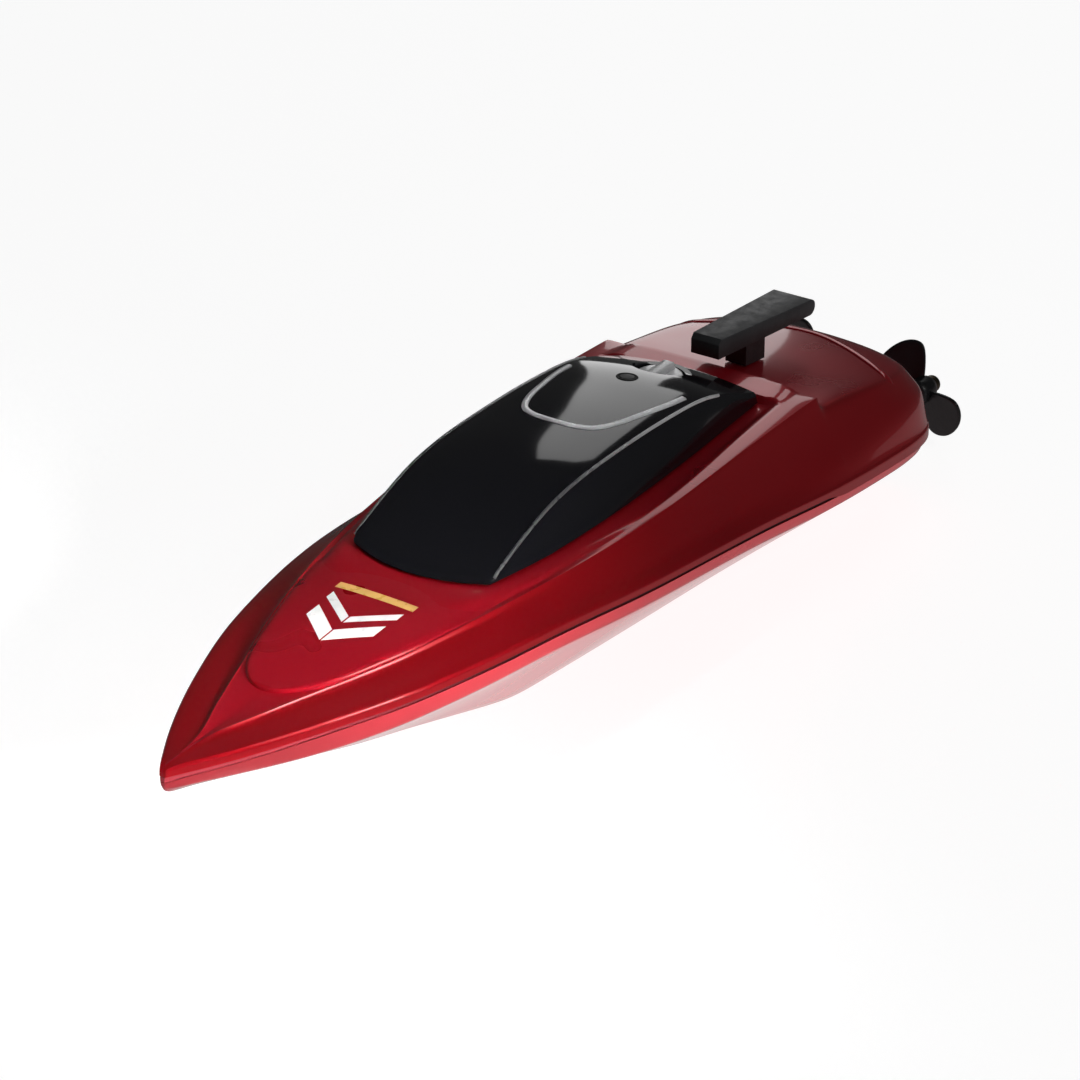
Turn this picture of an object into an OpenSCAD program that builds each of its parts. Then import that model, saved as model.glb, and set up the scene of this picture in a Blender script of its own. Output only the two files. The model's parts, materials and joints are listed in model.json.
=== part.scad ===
/* [Hull] */
// Length from the transom to the tip of the bow
hull_l = 268; // [250:1:290]
// Greatest breadth over the rub edge
beam = 79.6; // [74:0.2:86]
// Height of the rub edge at the transom
rub_stern_z = 23; // [21.5:0.5:26]
// Height of the rub edge where it is highest
rub_peak_z = 41.5; // [39:0.5:43]
// Height of the foot of the stem
stem_z = 34.5; // [31:0.5:35]
// Width of the flat keel pad at the transom
pad_w = 20; // [17:0.5:22]
// Length of the flat keel pad from the transom
pad_l = 146; // [138:1:150]
// Height of the hull side from the chine to the seam amidships
side_h = 4.4; // [3.5:0.1:5.5]
// Wall of the hull and the deck
wall = 1.8; // [1.4:0.1:2.2]
// Thickness of the seam gasket
seam_t = 1.4; // [1:0.1:2]
// Height of the deck's lip above the seam
lip_h = 2.2; // [1.6:0.1:3]
// How far the deck's lip stands out over the hull
lip_out = 0.7; // [0.4:0.1:1]

/* [Deck] */
// Height of the hatch ledge that the canopy closes on
hatch_z = 47.8; // [46.5:0.1:49]
// Height of the coaming behind the canopy above the ledge
coaming_h = 2; // [1:0.1:3]
// Distance of the coaming's rear edge from the transom
coaming_s = 54; // [52:0.5:57]
// Height of the shoulder ridges at their rear ends
ridge_h = 3.2; // [1.5:0.1:4]
// Length over which the shoulder ridges fade forward
ridge_l = 85; // [60:1:100]
// Width of the ledge under the canopy's edge
ledge_w = 3.6; // [3:0.1:4.5]

/* [Canopy] */
// Distance of the canopy's rear face from the transom
canopy_rear = 64.5; // [63:0.5:67]
// Distance of the canopy's front edge from the transom
canopy_front = 182; // [176:0.5:186]
// Depth of the bow in the canopy's front edge
front_bow = 5.5; // [3:0.5:8]
// Greatest width of the canopy at its edge
canopy_w = 46; // [42:0.5:47]
// Width of the roof between its creases
roof_w = 38; // [34:0.5:39]
// Height of the roof creases above the canopy's edge
roof_h = 12; // [10:0.5:14]
// Rise of the roof from its creases to its middle
roof_crown = 1.8; // [1:0.1:3]
// Wall of the canopy
canopy_wall = 1.5; // [1.2:0.1:2]
// Thickness of the hatch gasket
hatch_gasket_t = 0.4; // [0.3:0.05:0.8]

/* [Hinge and latch] */
// Diameter of the hinge pin
pin_d = 2; // [1.6:0.1:2.4]
// Width of each hinge arm
arm_w = 3; // [2.4:0.1:4]
// Distance of each hinge arm from the middle
arm_y = 7; // [6:0.5:8]
// Distance of the hinge pin ahead of the canopy's front edge
hinge_ahead = 4; // [3.5:0.1:5]
// Depth of the hinge pin under the hatch ledge
hinge_drop = 5.4; // [5.2:0.1:6]
// Diameter of the latch knob
knob_d = 12; // [10:0.5:13]
// Height of the latch knob
knob_h = 3.6; // [3:0.1:5]
// Distance of the latch from the canopy's rear face
latch_s = 13.5; // [12:0.5:15]
// Diameter of the latch spindle
spindle_d = 4; // [3:0.1:5]
// Length of the latch tongue from its spindle
tongue_l = 15; // [14.5:0.1:16]

/* [Handle] */
// Length of the handle bar
handle_l = 43.5; // [38:0.5:46]
// Width of the bar at its front
handle_w = 8; // [7:0.1:10]
// Width of the bar at its free end
handle_end_w = 11.4; // [9:0.1:13]
// Thickness of the bar at its front
handle_t = 5; // [4.5:0.1:6]
// Thickness of the bar at its free end
handle_end_t = 4.2; // [3:0.1:5]
// Height of the bar's top above the hatch ledge at its front
handle_z = 10; // [9:0.1:11]
// Fall of the bar's top towards its free end
handle_fall = 4; // [2:0.1:5]
// Distance of the handle's foot behind the coaming
foot_back = 10.5; // [9:0.5:12]
// Length of the handle's foot on the deck
foot_l = 9; // [8:0.5:11]
// Width of the handle's foot
foot_w = 6; // [5:0.1:7]

/* [Drive] */
// Diameter of the propellers
prop_d = 28; // [25:0.5:28.5]
// Distance of each shaft from the middle
prop_y = 15.5; // [15:0.1:16.5]
// Height of the propellers' middle
prop_z = 14.6; // [14.5:0.1:15]
// Distance of the propellers behind the transom
prop_back = 27; // [24:0.5:30]
// Tilt of the shafts, rising forward
shaft_tilt = 3.5; // [3:0.1:4]
// Diameter of the propeller shafts
shaft_d = 2; // [1.6:0.1:2.4]
// Outer diameter of the stern tubes
tube_d = 4; // [3.8:0.1:4.2]
// Bore of the stern tubes
tube_bore = 3; // [2.8:0.1:3.2]
// Length of the stern tubes
tube_l = 36; // [34:0.5:38]
// Diameter of the propeller hub
hub_d = 7; // [6:0.1:8]
// Length of the propeller hub
hub_l = 7.5; // [7:0.5:10]
// Number of blades on each propeller
blade_n = 2; // [2:1:3]
// Thickness of the propeller blades
blade_t = 1.2; // [0.8:0.1:1.6]
// Angle that each fan-shaped blade covers
blade_span = 112; // [90:1:120]
// Angle of the first blade from port, as the propellers stand at rest
blade_turn = 142; // [0:1:180]
// Pitch angle of the blades
blade_pitch = 24; // [15:1:30]
// Diameter of the motor cans
motor_d = 16.4; // [15:0.2:16.6]
// Length of the motor cans
motor_l = 25; // [23:0.5:27]
// Wall of the motor cans
can_wall = 1; // [0.8:0.1:1.4]
// Length of the shaft couplings
coupling_l = 14; // [12:0.5:15]
// Diameter of the shaft couplings
coupling_d = 6; // [5:0.1:7]

/* [Power and control] */
// Length of the battery pack
battery_l = 50; // [44:0.5:54]
// Width of the battery pack
battery_w = 24; // [20:0.5:25]
// Height of the battery pack
battery_h = 14; // [12:0.5:16]
// Distance of the battery pack from the transom
battery_s = 73; // [72:0.5:75]
// Wall of the battery tray
tray_wall = 1.5; // [1.2:0.1:1.7]
// Height of the tray's floor
tray_z = 12; // [11.6:0.1:13]
// Length of the receiver board
board_l = 26; // [22:0.5:28]
// Width of the receiver board
board_w = 16; // [14:0.5:18]
// Thickness of the receiver board
board_t = 1.2; // [1:0.1:1.6]
// Travel of the power switch
switch_travel = 3; // [2:0.1:3.5]

/* [Hidden] */
// Clearance between parts that are glued, clamped or laid together
seat = 0.15;
// Radial clearance of turning fits
run = 0.05;
// Clearance between parts that pass each other
pass = 0.5;
// Roundness of circles
$fn = 48;
// Everything is set out from the transom; the origin is under the middle of the keel pad
stern_x = -pad_l / 2;
// Length of solid bow ahead of the hollow
bow_solid = 14;

// Lines of the hull: each point is a share of the length and a share of the size it shapes
rub_plan = [[0, 0.73], [0.008, 0.825], [0.022, 0.892], [0.05, 0.95], [0.09, 0.98], [0.2, 1], [0.35, 0.975],
    [0.5, 0.94], [0.65, 0.847], [0.78, 0.673], [0.88, 0.435], [0.95, 0.216], [1, 0.018]];
sheer = [[0, 0], [0.23, 0.37], [0.34, 0.58], [0.5, 0.8], [0.67, 0.99], [0.85, 1], [1, 0.962]];
chine_plan = [[0, 0.965], [0.5, 0.955], [0.8, 0.93], [1, 0.8]];
chine_drop = [[0, 0.75], [0.3, 0.85], [0.6, 1], [0.85, 1.2], [1, 0.4]];
shoulder_plan = [[0, 0.52], [0.008, 0.61], [0.022, 0.68], [0.05, 0.74], [0.1, 0.77], [0.2, 0.76],
    [0.3, 0.774], [0.435, 0.784], [0.5, 0.761], [0.56, 0.72], [0.62, 0.668], [0.694, 0.575], [0.784, 0.42],
    [0.853, 0.255], [0.914, 0.11], [0.955, 0.012], [1, 0.006]];
shoulder_rise = [[0, 0.48], [0.008, 0.53], [0.022, 0.565], [0.05, 0.62], [0.1, 0.72], [0.19, 0.86],
    [0.3, 0.93], [0.435, 0.97], [0.56, 0.89], [0.694, 0.555], [0.853, 0.13], [0.955, 0.03],
    [1, 0.02]];
ridge_inner = [[0, 0.38], [0.022, 0.54], [0.05, 0.6], [0.1, 0.62], [0.2, 0.608], [0.3, 0.651],
    [0.36, 0.683], [0.435, 0.721], [0.5, 0.719], [0.56, 0.683], [0.62, 0.633],
    [0.694, 0.54], [0.784, 0.4], [0.853, 0.24], [0.914, 0.1], [0.955, 0.009], [1, 0.004]];
knuckle_in = [[0, 0.06], [0.1, 0.055], [0.2, 0.05], [0.3, 0.06], [0.45, 0.066], [0.7, 0.06],
    [0.9, 0.04], [1, 0.002]];
knuckle_rise = [[0, 0.62], [0.04, 0.58], [0.1, 0.44], [0.19, 0.27], [0.3, 0.17], [0.45, 0.16],
    [0.7, 0.25], [1, 0.3]];
deck_rise = [[0, 0.585], [0.008, 0.64], [0.022, 0.68], [0.11, 0.79], [0.19, 0.9]];
bow_rise = [[0, 1], [0.05, 0.94], [0.33, 0.57], [0.6, 0.2], [0.86, 0.05], [1, 0.025]];
keel_rise = [[0, 0], [0.16, 0.15], [0.32, 0.3], [0.475, 0.44], [0.62, 0.6], [0.76, 0.765], [1, 1]];
keel_taper = [[0, 1], [0.28, 0.85], [0.37, 0.75], [0.45, 0.6], [0.53, 0.4], [0.62, 0.28], [0.8, 0.1],
              [1, 0.01]];
canopy_plan = [[0, 0.86], [0.13, 0.905], [0.34, 0.97], [0.56, 1], [0.78, 0.965], [0.955, 0.83], [1, 0.8]];
roof_rise = [[0, 0.21], [0.2, 0.86], [0.28, 0.94], [0.44, 1], [0.6, 0.98], [0.73, 0.85], [0.86, 0.45],
             [0.955, 0.07], [1, 0.01]];

// Smooth curve through a list of points that never overshoots them
function span_of(t, x, i = 0) = i >= len(t) - 2 || x < t[i + 1][0] ? i : span_of(t, x, i + 1);
function slope_of(t, i) = (t[i + 1][1] - t[i][1]) / (t[i + 1][0] - t[i][0]);
function tangent(t, i) =
    i == 0 ? slope_of(t, 0)
    : i == len(t) - 1 ? slope_of(t, i - 1)
    : slope_of(t, i - 1) * slope_of(t, i) <= 0 ? 0
    : 2 / (1 / slope_of(t, i - 1) + 1 / slope_of(t, i));
function curve(t, x) =
    let (i = span_of(t, x), h = t[i + 1][0] - t[i][0], v = min(1, max(0, (x - t[i][0]) / h)), w = 1 - v)
    (1 + 2 * v) * w * w * t[i][1] + v * w * w * h * tangent(t, i)
    + v * v * (3 - 2 * v) * t[i + 1][1] - v * v * w * h * tangent(t, i + 1);

// Straight ramp from 0 at a to 1 at b
function ramp(x, a, b) = min(1, max(0, (x - a) / (b - a)));

// Rub edge, seam, chine and keel at a distance from the transom
half_beam = beam / 2;
function rub_y(s) = half_beam * curve(rub_plan, s / hull_l);
function rub_z(s) = rub_stern_z + (rub_peak_z - rub_stern_z) * curve(sheer, s / hull_l);
function seam_z(s) = rub_z(s) - lip_h;
function brim_y(s) = max(lip_out / 4, rub_y(s) - lip_out * ramp(rub_y(s), 0, 6 * lip_out));
function brim_z(s) = seam_z(s) - seam_t;
function keel_u(s) = ramp(s, pad_l, hull_l);
function keel_z(s) = stem_z * curve(keel_rise, keel_u(s));
function keel_y(s) = pad_w / 2 * curve(keel_taper, s / hull_l);
function chine_y(s) = brim_y(s) * curve(chine_plan, s / hull_l);
function chine_z(s) = brim_z(s) - side_h * curve(chine_drop, s / hull_l);

// Deck heights as shares of the way from the rub edge up to the hatch ledge
step_l = 1.2;
coaming_front = canopy_rear - pass;
function between(s, share) = rub_z(s) + (hatch_z - rub_z(s)) * share;
function ridge(s) =
    ridge_h * ramp(s, coaming_s - step_l, coaming_s) * (1 - ramp(s, coaming_s, coaming_s + ridge_l));
function shoulder_y(s) = half_beam * curve(shoulder_plan, s / hull_l);
function shoulder_z(s) = between(s, curve(shoulder_rise, s / hull_l)) + ridge(s);
function inner_y(s) = half_beam * curve(ridge_inner, s / hull_l);
function knuckle_y(s) = rub_y(s) - half_beam * curve(knuckle_in, s / hull_l);
function knuckle_z(s) = rub_z(s) + (shoulder_z(s) - rub_z(s)) * curve(knuckle_rise, s / hull_l);
function bow_u(s) = ramp(s, canopy_front, hull_l);
function middle_z(s) =
    s <= coaming_s - step_l ? between(s, curve(deck_rise, s / hull_l))
    : s <= coaming_s ? let (a = between(s, curve(deck_rise, s / hull_l)))
        a + (hatch_z + coaming_h - a) * ramp(s, coaming_s - step_l, coaming_s)
    : s <= coaming_front ? hatch_z + coaming_h * (1 - ramp(s, coaming_front - step_l, coaming_front))
    : between(s, curve(bow_rise, bow_u(s)));
// The ledge stays level to the canopy's edge, and the camber is round elsewhere
function level(s) =
    ramp(s, coaming_s - step_l, coaming_s) * (1 - ramp(s, canopy_front, canopy_front + bow_solid));
function ledge_y(s) = inner_y(s) * (0.5 + 0.43 * level(s));
function ledge_z(s) = middle_z(s) - (middle_z(s) - inner_z(s)) * 0.25 * (1 - level(s));
function inner_z(s) =
    s < coaming_s ? max(shoulder_z(s), middle_z(s) - 1 + ramp(s, coaming_s - step_l, coaming_s))
    : shoulder_z(s) + (middle_z(s) - shoulder_z(s)) * 0.3 * bow_u(s);

// Half sections from the edge to the middle as [across, up] points
function hull_half(s) = [
    [brim_y(s), brim_z(s)],
    [(brim_y(s) + 2 * chine_y(s)) / 3 + 0.005 * brim_y(s), (brim_z(s) + 2 * chine_z(s)) / 3],
    [chine_y(s), chine_z(s)],
    [chine_y(s) * 0.66 + keel_y(s) * 0.34, chine_z(s) * 0.63 + keel_z(s) * 0.37],
    [chine_y(s) * 0.33 + keel_y(s) * 0.67, chine_z(s) * 0.3 + keel_z(s) * 0.7],
    [keel_y(s), keel_z(s)]];
function deck_half(s) = [
    [rub_y(s) + seat, seam_z(s)],
    [rub_y(s), rub_z(s)],
    [knuckle_y(s), knuckle_z(s)],
    [(knuckle_y(s) + shoulder_y(s)) / 2, (knuckle_z(s) + shoulder_z(s)) / 2],
    [shoulder_y(s), shoulder_z(s)],
    [inner_y(s), inner_z(s)],
    [ledge_y(s), ledge_z(s)]];

// Inner line of a half section whose wall is d thick, above (up = 1) or below (up = -1) the outer line
steepest = 2.2;
function hollow_half(half, middle, d, up) =
    let (rows = concat([[0, middle]], [for (i = [len(half) - 1:-1:0]) half[i]]),
        draw = (half[0][0] - d) / half[0][0],
        edge = half[0][1])
    [for (i = [0:len(half) - 1])
        let (y = half[i][0] * draw,
            slope = lookup(y + 0.5, rows) - lookup(max(0, y - 0.5), rows),
            z = lookup(y, rows) + up * d * min(steepest, sqrt(1 + slope * slope)))
        i == 0 ? [y, edge] : [y, up > 0 ? min(z, edge - 0.3) : max(z, edge + 0.3)]];
// Whole section from the port edge over the middle to the starboard edge
function ring(s, half, top) = concat(
    [for (p = half) [s, p[0], p[1]]],
    [[s, 0, top]],
    [for (i = [len(half) - 1:-1:0]) [s, -half[i][0], half[i][1]]]);

// Stations along the boat
stations = concat(
    [for (k = [0, 0.04, 0.11, 0.22, 0.41, 0.63, 0.83]) coaming_s * k],
    [coaming_s - step_l, coaming_s, coaming_s + ledge_w],
    [coaming_front - step_l, coaming_front],
    [for (k = [0:8]) canopy_rear + ledge_w + (canopy_front - canopy_rear - ledge_w) * k / 8],
    [for (k = [1:11]) canopy_front + (hull_l - canopy_front) * k / 11]);
function hollow_s(s) = wall + s * (hull_l - bow_solid - wall) / hull_l;
// The hollow's roof keeps the wall's thickness beside the coaming's steps
function low_middle(s) = min(middle_z(s - wall), middle_z(s), middle_z(s + wall));
function hull_rings() = [for (s = stations) ring(s, hull_half(s), keel_z(s))];
function hull_hollow() = [for (s = stations)
    let (h = hollow_s(s), half = hollow_half(hull_half(h), keel_z(h), wall, 1))
    ring(h, half, half[len(half) - 1][1])];
function deck_rings() = [for (s = stations) ring(s, deck_half(s), middle_z(s))];
function deck_hollow() = [for (s = stations)
    let (h = hollow_s(s), low = low_middle(h), half = deck_half(h),
        drawn = [for (i = [0:len(half) - 1]) half[i] - [0, i > 3 ? middle_z(h) - low : 0]])
    ring(h, hollow_half(drawn, low, wall, -1), low - wall)];

// Closed shell between outer and inner rings that share one level edge
module shell(outer, inner, over) {
    m = len(outer);
    n = len(outer[0]);
    ends = [outer[0], inner[0], outer[m - 1], inner[m - 1]];
    starts = [0, m * n, (m - 1) * n, (2 * m - 1) * n];
    edges = [for (r = ends) for (j = [1:n - 2]) [r[j][0], r[j][1], r[0][2]]];
    function e(k, j) = j == 0 || j == n - 1 ? starts[k] + j : 2 * m * n + k * (n - 2) + j - 1;
    function skin(base, flip) = [for (i = [0:m - 2]) for (j = [0:n - 2])
        let (a = base + i * n + j, q = [a, a + 1, a + n + 1, a + n])
        each split(q, flip)];
    function cap(k, flip) = [for (j = [0:n - 2])
        let (a = starts[k] + j, q = [a + 1, a, e(k, j), e(k, j + 1)])
        each split(q, flip)];
    function brim(j, flip) = [for (i = [0:m - 2])
        let (a = i * n + j, q = [a, a + n, a + n + m * n, a + m * n])
        each split(q, flip)];
    function sill(k, flip) = [for (j = [0:n - 2])
        let (q = [e(k, j), e(k + 1, j), e(k + 1, j + 1), e(k, j + 1)])
        each split(q, flip)];
    polyhedron(
        points = concat([for (r = outer) each r], [for (r = inner) each r], edges),
        faces = concat(skin(0, over), skin(m * n, !over), cap(0, over), cap(1, !over), cap(2, !over),
            cap(3, over), brim(0, over), brim(n - 1, !over), sill(0, over), sill(2, !over)));
}
// Two triangles of a four-cornered face, without any that has shrunk to a line
function split(q, flip) =
    let (pair = [[q[0], q[1], q[2]], [q[0], q[2], q[3]]])
    [for (t = pair) if (t[0] != t[1] && t[1] != t[2] && t[2] != t[0])
        flip ? [t[2], t[1], t[0]] : t];

module from_transom() {
    translate([stern_x, 0, 0])
        children();
}

// Canopy edge, creases and roof at a distance from the transom
edge_z = hatch_z + hatch_gasket_t + 2 * seat;
front_corner = canopy_front - front_bow;
function canopy_u(s) = (s - canopy_rear) / (canopy_front - canopy_rear);
function canopy_y(s) =
    let (side = canopy_w / 2 * curve(canopy_plan, canopy_u(min(s, front_corner))))
    s <= front_corner ? side : side * sqrt(max(0, (canopy_front - s) / front_bow));
function crease_y(s) = min(roof_w / 2, canopy_y(s) - 0.3);
function crease_z(s) = edge_z + roof_h * curve(roof_rise, canopy_u(s));
function roof_z(s) = crease_z(s) + roof_crown * ramp(canopy_front - s, 0, front_bow);
function canopy_half(s) = [
    [canopy_y(s), edge_z],
    [(canopy_y(s) + crease_y(s)) / 2 + 0.1, (edge_z + crease_z(s)) / 2],
    [crease_y(s), crease_z(s)],
    [crease_y(s) * 0.55, crease_z(s) * 0.3 + roof_z(s) * 0.7]];
// Length of solid front ahead of the canopy's hollow
nose = 11;
canopy_stations = concat(
    [for (k = [0:14]) canopy_rear + (front_corner - canopy_rear) * k / 14],
    [for (k = [0.35, 0.62, 0.82, 0.97]) front_corner + front_bow * k]);
function canopy_rings() = [for (s = canopy_stations) ring(s, canopy_half(s), roof_z(s))];
function canopy_hollow() = [for (s = canopy_stations)
    let (h = canopy_rear + canopy_wall + (canopy_front - canopy_rear - nose - canopy_wall) * canopy_u(s))
    ring(h, hollow_half(canopy_half(h), roof_z(h), canopy_wall, -1), roof_z(h) - canopy_wall)];
// Outline of the canopy's edge in plan, drawn in by d all round
function outline(d) =
    let (side = [for (k = [0, 0.13, 0.36, 0.6, 0.82, 1])
            let (s = canopy_rear + (front_corner - canopy_rear) * k)
            [max(s, canopy_rear + d), canopy_y(s) - d]],
        last = len(side) - 1,
        tip = side[last][1],
        half = concat(
            [for (i = [0:last]) i == last ? side[i] - [d, 0] : side[i]],
            [for (k = [0.7, 0.4]) [canopy_front - d - front_bow * k * k, tip * k]]))
    concat(half, [[canopy_front - d, 0]], [for (i = [len(half) - 1:-1:0]) [half[i][0], -half[i][1]]]);

// Frame of a shaft: its origin is the propeller's middle and +X runs forward along the shaft
module on_shaft(side) {
    from_transom()
        translate([-prop_back, side * prop_y, prop_z])
            rotate([0, -shaft_tilt, 0])
                children();
}
// Rod, disc or drill along the shaft from a to b
module rod(a, b, d) {
    translate([a, 0, 0])
        rotate([0, 90, 0])
            cylinder(h = b - a, d = d);
}
// Upright rod from a to b
module post(x, y, a, b, d) {
    translate([x, y, a])
        cylinder(h = b - a, d = d);
}
// Box from one corner to the opposite one
module block(a, b) {
    translate(a)
        cube(b - a);
}

// Places along a shaft, measured from the propeller's middle
tube_from = hub_l / 2 + 5.25;
tube_to = tube_from + tube_l;
bush_l = 5;
collar_l = 2.2;
collar_d = shaft_d + 2.4;
nut_l = 2.6;
nut_d = 4.6;
coupling_from = tube_to + 5;
coupling_to = coupling_from + coupling_l;
shafts_meet = coupling_from + coupling_l / 2;
can_from = coupling_to + 2;
can_to = can_from + motor_l;
cap_l = 2.4;
cap_plug = 2.5;
cap_to = can_to + seat + cap_l;
cap_floor = 0.6;
bearing_d = 6;
bearing_l = 1.2;
winding_in = 3;
motor_bore = motor_d - 2 * can_wall;
rotor_gap = 0.6;
terminal = [3, 0.6, 2];
terminal_y = 4.5;

// Hinge and latch
hinge_s = canopy_front + hinge_ahead;
hinge_z = hatch_z - hinge_drop;
eye_r = pin_d / 2 + 1.4;
lug_w = 3;
lug_y = arm_y + arm_w / 2 + pass;
arm_r = 12.2;
arm_t = 2;
arm_up = 165;
arm_down = 226;
knob_s = canopy_rear + latch_s;
boss_z = crease_z(knob_s) - 0.6;
pocket_z = boss_z - 1.6;
boss_floor = 3;
tongue_t = 2;
tongue_w = 5;
tongue_z = hatch_z - wall - pass - tongue_t;
latch_nut_t = 1.8;
lens_d = 3.8;
lens_s = knob_s + 14;

// Handle
handle_over = 3;
handle_front = coaming_s + handle_over;
handle_rear = handle_front - handle_l;
handle_top = hatch_z + handle_z;
foot_to = coaming_s - step_l - foot_back;
foot_from = foot_to - foot_l;
screw_d = 1.8;
head_d = 3.4;
head_t = 1.3;
handle_screws_at = [foot_from + foot_l / 4, foot_to - foot_l / 4];
screw_top = handle_top - 0.8 * handle_t;
// The screws' heads stay this far below the sloping skin
head_gap = 0.4;

// Loose edge of the hull's brim, port side forward, starboard side back and across the transom
function loop_of(rings, dz) =
    let (m = len(rings), n = len(rings[0]))
    [for (p = concat([for (i = [0:m - 1]) rings[i][0]], [for (i = [m - 1:-1:0]) rings[i][n - 1]],
            [for (j = [n - 2:-1:1]) [rings[0][j][0], rings[0][j][1], rings[0][0][2]]]))
        p + [0, 0, dz]];
// Closed band through four loops that lie round each other
module band(loops) {
    k = len(loops[0]);
    polyhedron(
        points = [for (l = loops) each l],
        faces = [for (a = [0:3]) for (i = [0:k - 1])
            let (b = (a + 1) % 4, j = (i + 1) % k)
            each split([a * k + i, a * k + j, b * k + j, b * k + i], false)]);
}

// Round tube along a route
function unit(v) = v / norm(v);
function route_ring(route, i, r, sides) =
    let (a = route[max(0, i - 1)], b = route[min(len(route) - 1, i + 1)], along = unit(b - a),
        across = unit(cross(along, [0.31, 0.17, 0.93])), up = cross(across, along))
    [for (k = [0:sides - 1]) route[i] + r * (cos(360 * k / sides) * across + sin(360 * k / sides) * up)];
module tube(route, d, sides = 8) {
    m = len(route);
    polyhedron(
        points = [for (i = [0:m - 1]) each route_ring(route, i, d / 2, sides)],
        faces = concat(
            [[for (k = [sides - 1:-1:0]) k]],
            [for (i = [0:m - 2]) for (k = [0:sides - 1])
                let (j = (k + 1) % sides)
                each split([i * sides + k, i * sides + j, (i + 1) * sides + j, (i + 1) * sides + k], false)],
            [[for (k = [0:sides - 1]) (m - 1) * sides + k]]));
}

// Hull with its bores for the stern tubes and the water contacts
contact_s = 66;
contact_y = 4;
contact_d = 1.6;
contact_up = 6;
module hull_shell() {
    color("firebrick")
        difference() {
            from_transom()
                shell(hull_rings(), hull_hollow(), false);
            for (side = [1, -1])
                on_shaft(side)
                    rod(prop_back - 2 * tube_d, prop_back + 2 * tube_d, tube_d + 2 * run);
            from_transom()
                for (y = [contact_y, -contact_y])
                    post(contact_s, y, -1, wall + 1, contact_d + 2 * run);
        }
}

// Deck with the hatch, the hinge lugs under its skin and the handle's screw holes
module deck_shell() {
    color("darkred")
        from_transom()
            difference() {
                union() {
                    shell(deck_rings(), deck_hollow(), true);
                    for (side = [1, -1])
                        hinge_lug(side);
                }
                translate([0, 0, hatch_z - 2 * wall])
                    linear_extrude(3 * wall)
                        polygon(outline(ledge_w));
                translate([hinge_s, 0, hinge_z])
                    rotate([90, 0, 0])
                        cylinder(h = 3 * lug_y, d = pin_d + 2 * run, center = true);
                for (s = handle_screws_at)
                    post(s, 0, hatch_z - 2 * handle_t, handle_top, screw_d + 2 * run);
            }
}
module hinge_lug(side) {
    y = side > 0 ? lug_y : -lug_y - lug_w;
    translate([hinge_s, y + lug_w, hinge_z])
        rotate([90, 0, 0])
            linear_extrude(lug_w) {
                circle(r = eye_r);
                translate([-eye_r, 0])
                    square([2 * eye_r, hinge_drop - wall - 0.2]);
            }
}

module seam_gasket() {
    color("black")
        from_transom()
            band([loop_of(hull_rings(), seat), loop_of(hull_hollow(), seat),
                loop_of(hull_hollow(), seam_t - seat), loop_of(hull_rings(), seam_t - seat)]);
}

module hatch_gasket() {
    color("dimgray")
        from_transom()
            translate([0, 0, hatch_z + seat])
                linear_extrude(hatch_gasket_t)
                    difference() {
                        polygon(outline(pass));
                        polygon(outline(ledge_w - pass));
                    }
}

// Bar over the aft deck on one foot behind the coaming
module carry_handle() {
    round_r = handle_end_t / 2;
    tail_z = handle_top - handle_fall - round_r;
    edge_cut = 1.2;
    color("black")
        from_transom()
            difference() {
                union() {
                    intersection() {
                        upright(handle_end_w) {
                            polygon([
                                [handle_front, handle_top - edge_cut],
                                [handle_front - edge_cut, handle_top],
                                [handle_rear + round_r, tail_z + round_r],
                                [handle_rear + round_r, tail_z - round_r],
                                [handle_front, handle_top - handle_t]]);
                            translate([handle_rear + round_r, tail_z])
                                circle(r = round_r);
                        }
                        translate([0, 0, hatch_z])
                            linear_extrude(2 * handle_z)
                                polygon([
                                    [handle_front, handle_w / 2], [handle_rear, handle_end_w / 2],
                                    [handle_rear, -handle_end_w / 2], [handle_front, -handle_w / 2]]);
                    }
                    upright(foot_w)
                        polygon([
                            [foot_from, middle_z(foot_from) + 2 * seat],
                            [foot_to, middle_z(foot_to) + 2 * seat],
                            [foot_to, handle_top - handle_t / 2],
                            [foot_from, handle_top - handle_t / 2]]);
                }
                for (s = handle_screws_at)
                    post(s, 0, hatch_z - 2 * handle_t, screw_top + pass, screw_d + 2 * run);
            }
}
// Side view drawn in the plane of the keel and given a width
module upright(w) {
    translate([0, w / 2, 0])
        rotate([90, 0, 0])
            linear_extrude(w)
                children();
}
module handle_screws() {
    color("silver")
        from_transom()
            for (s = handle_screws_at) {
                under = middle_z(s) - wall - head_gap;
                post(s, 0, under - head_t, under, head_d);
                post(s, 0, under - head_t / 2, screw_top, screw_d);
            }
}

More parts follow.
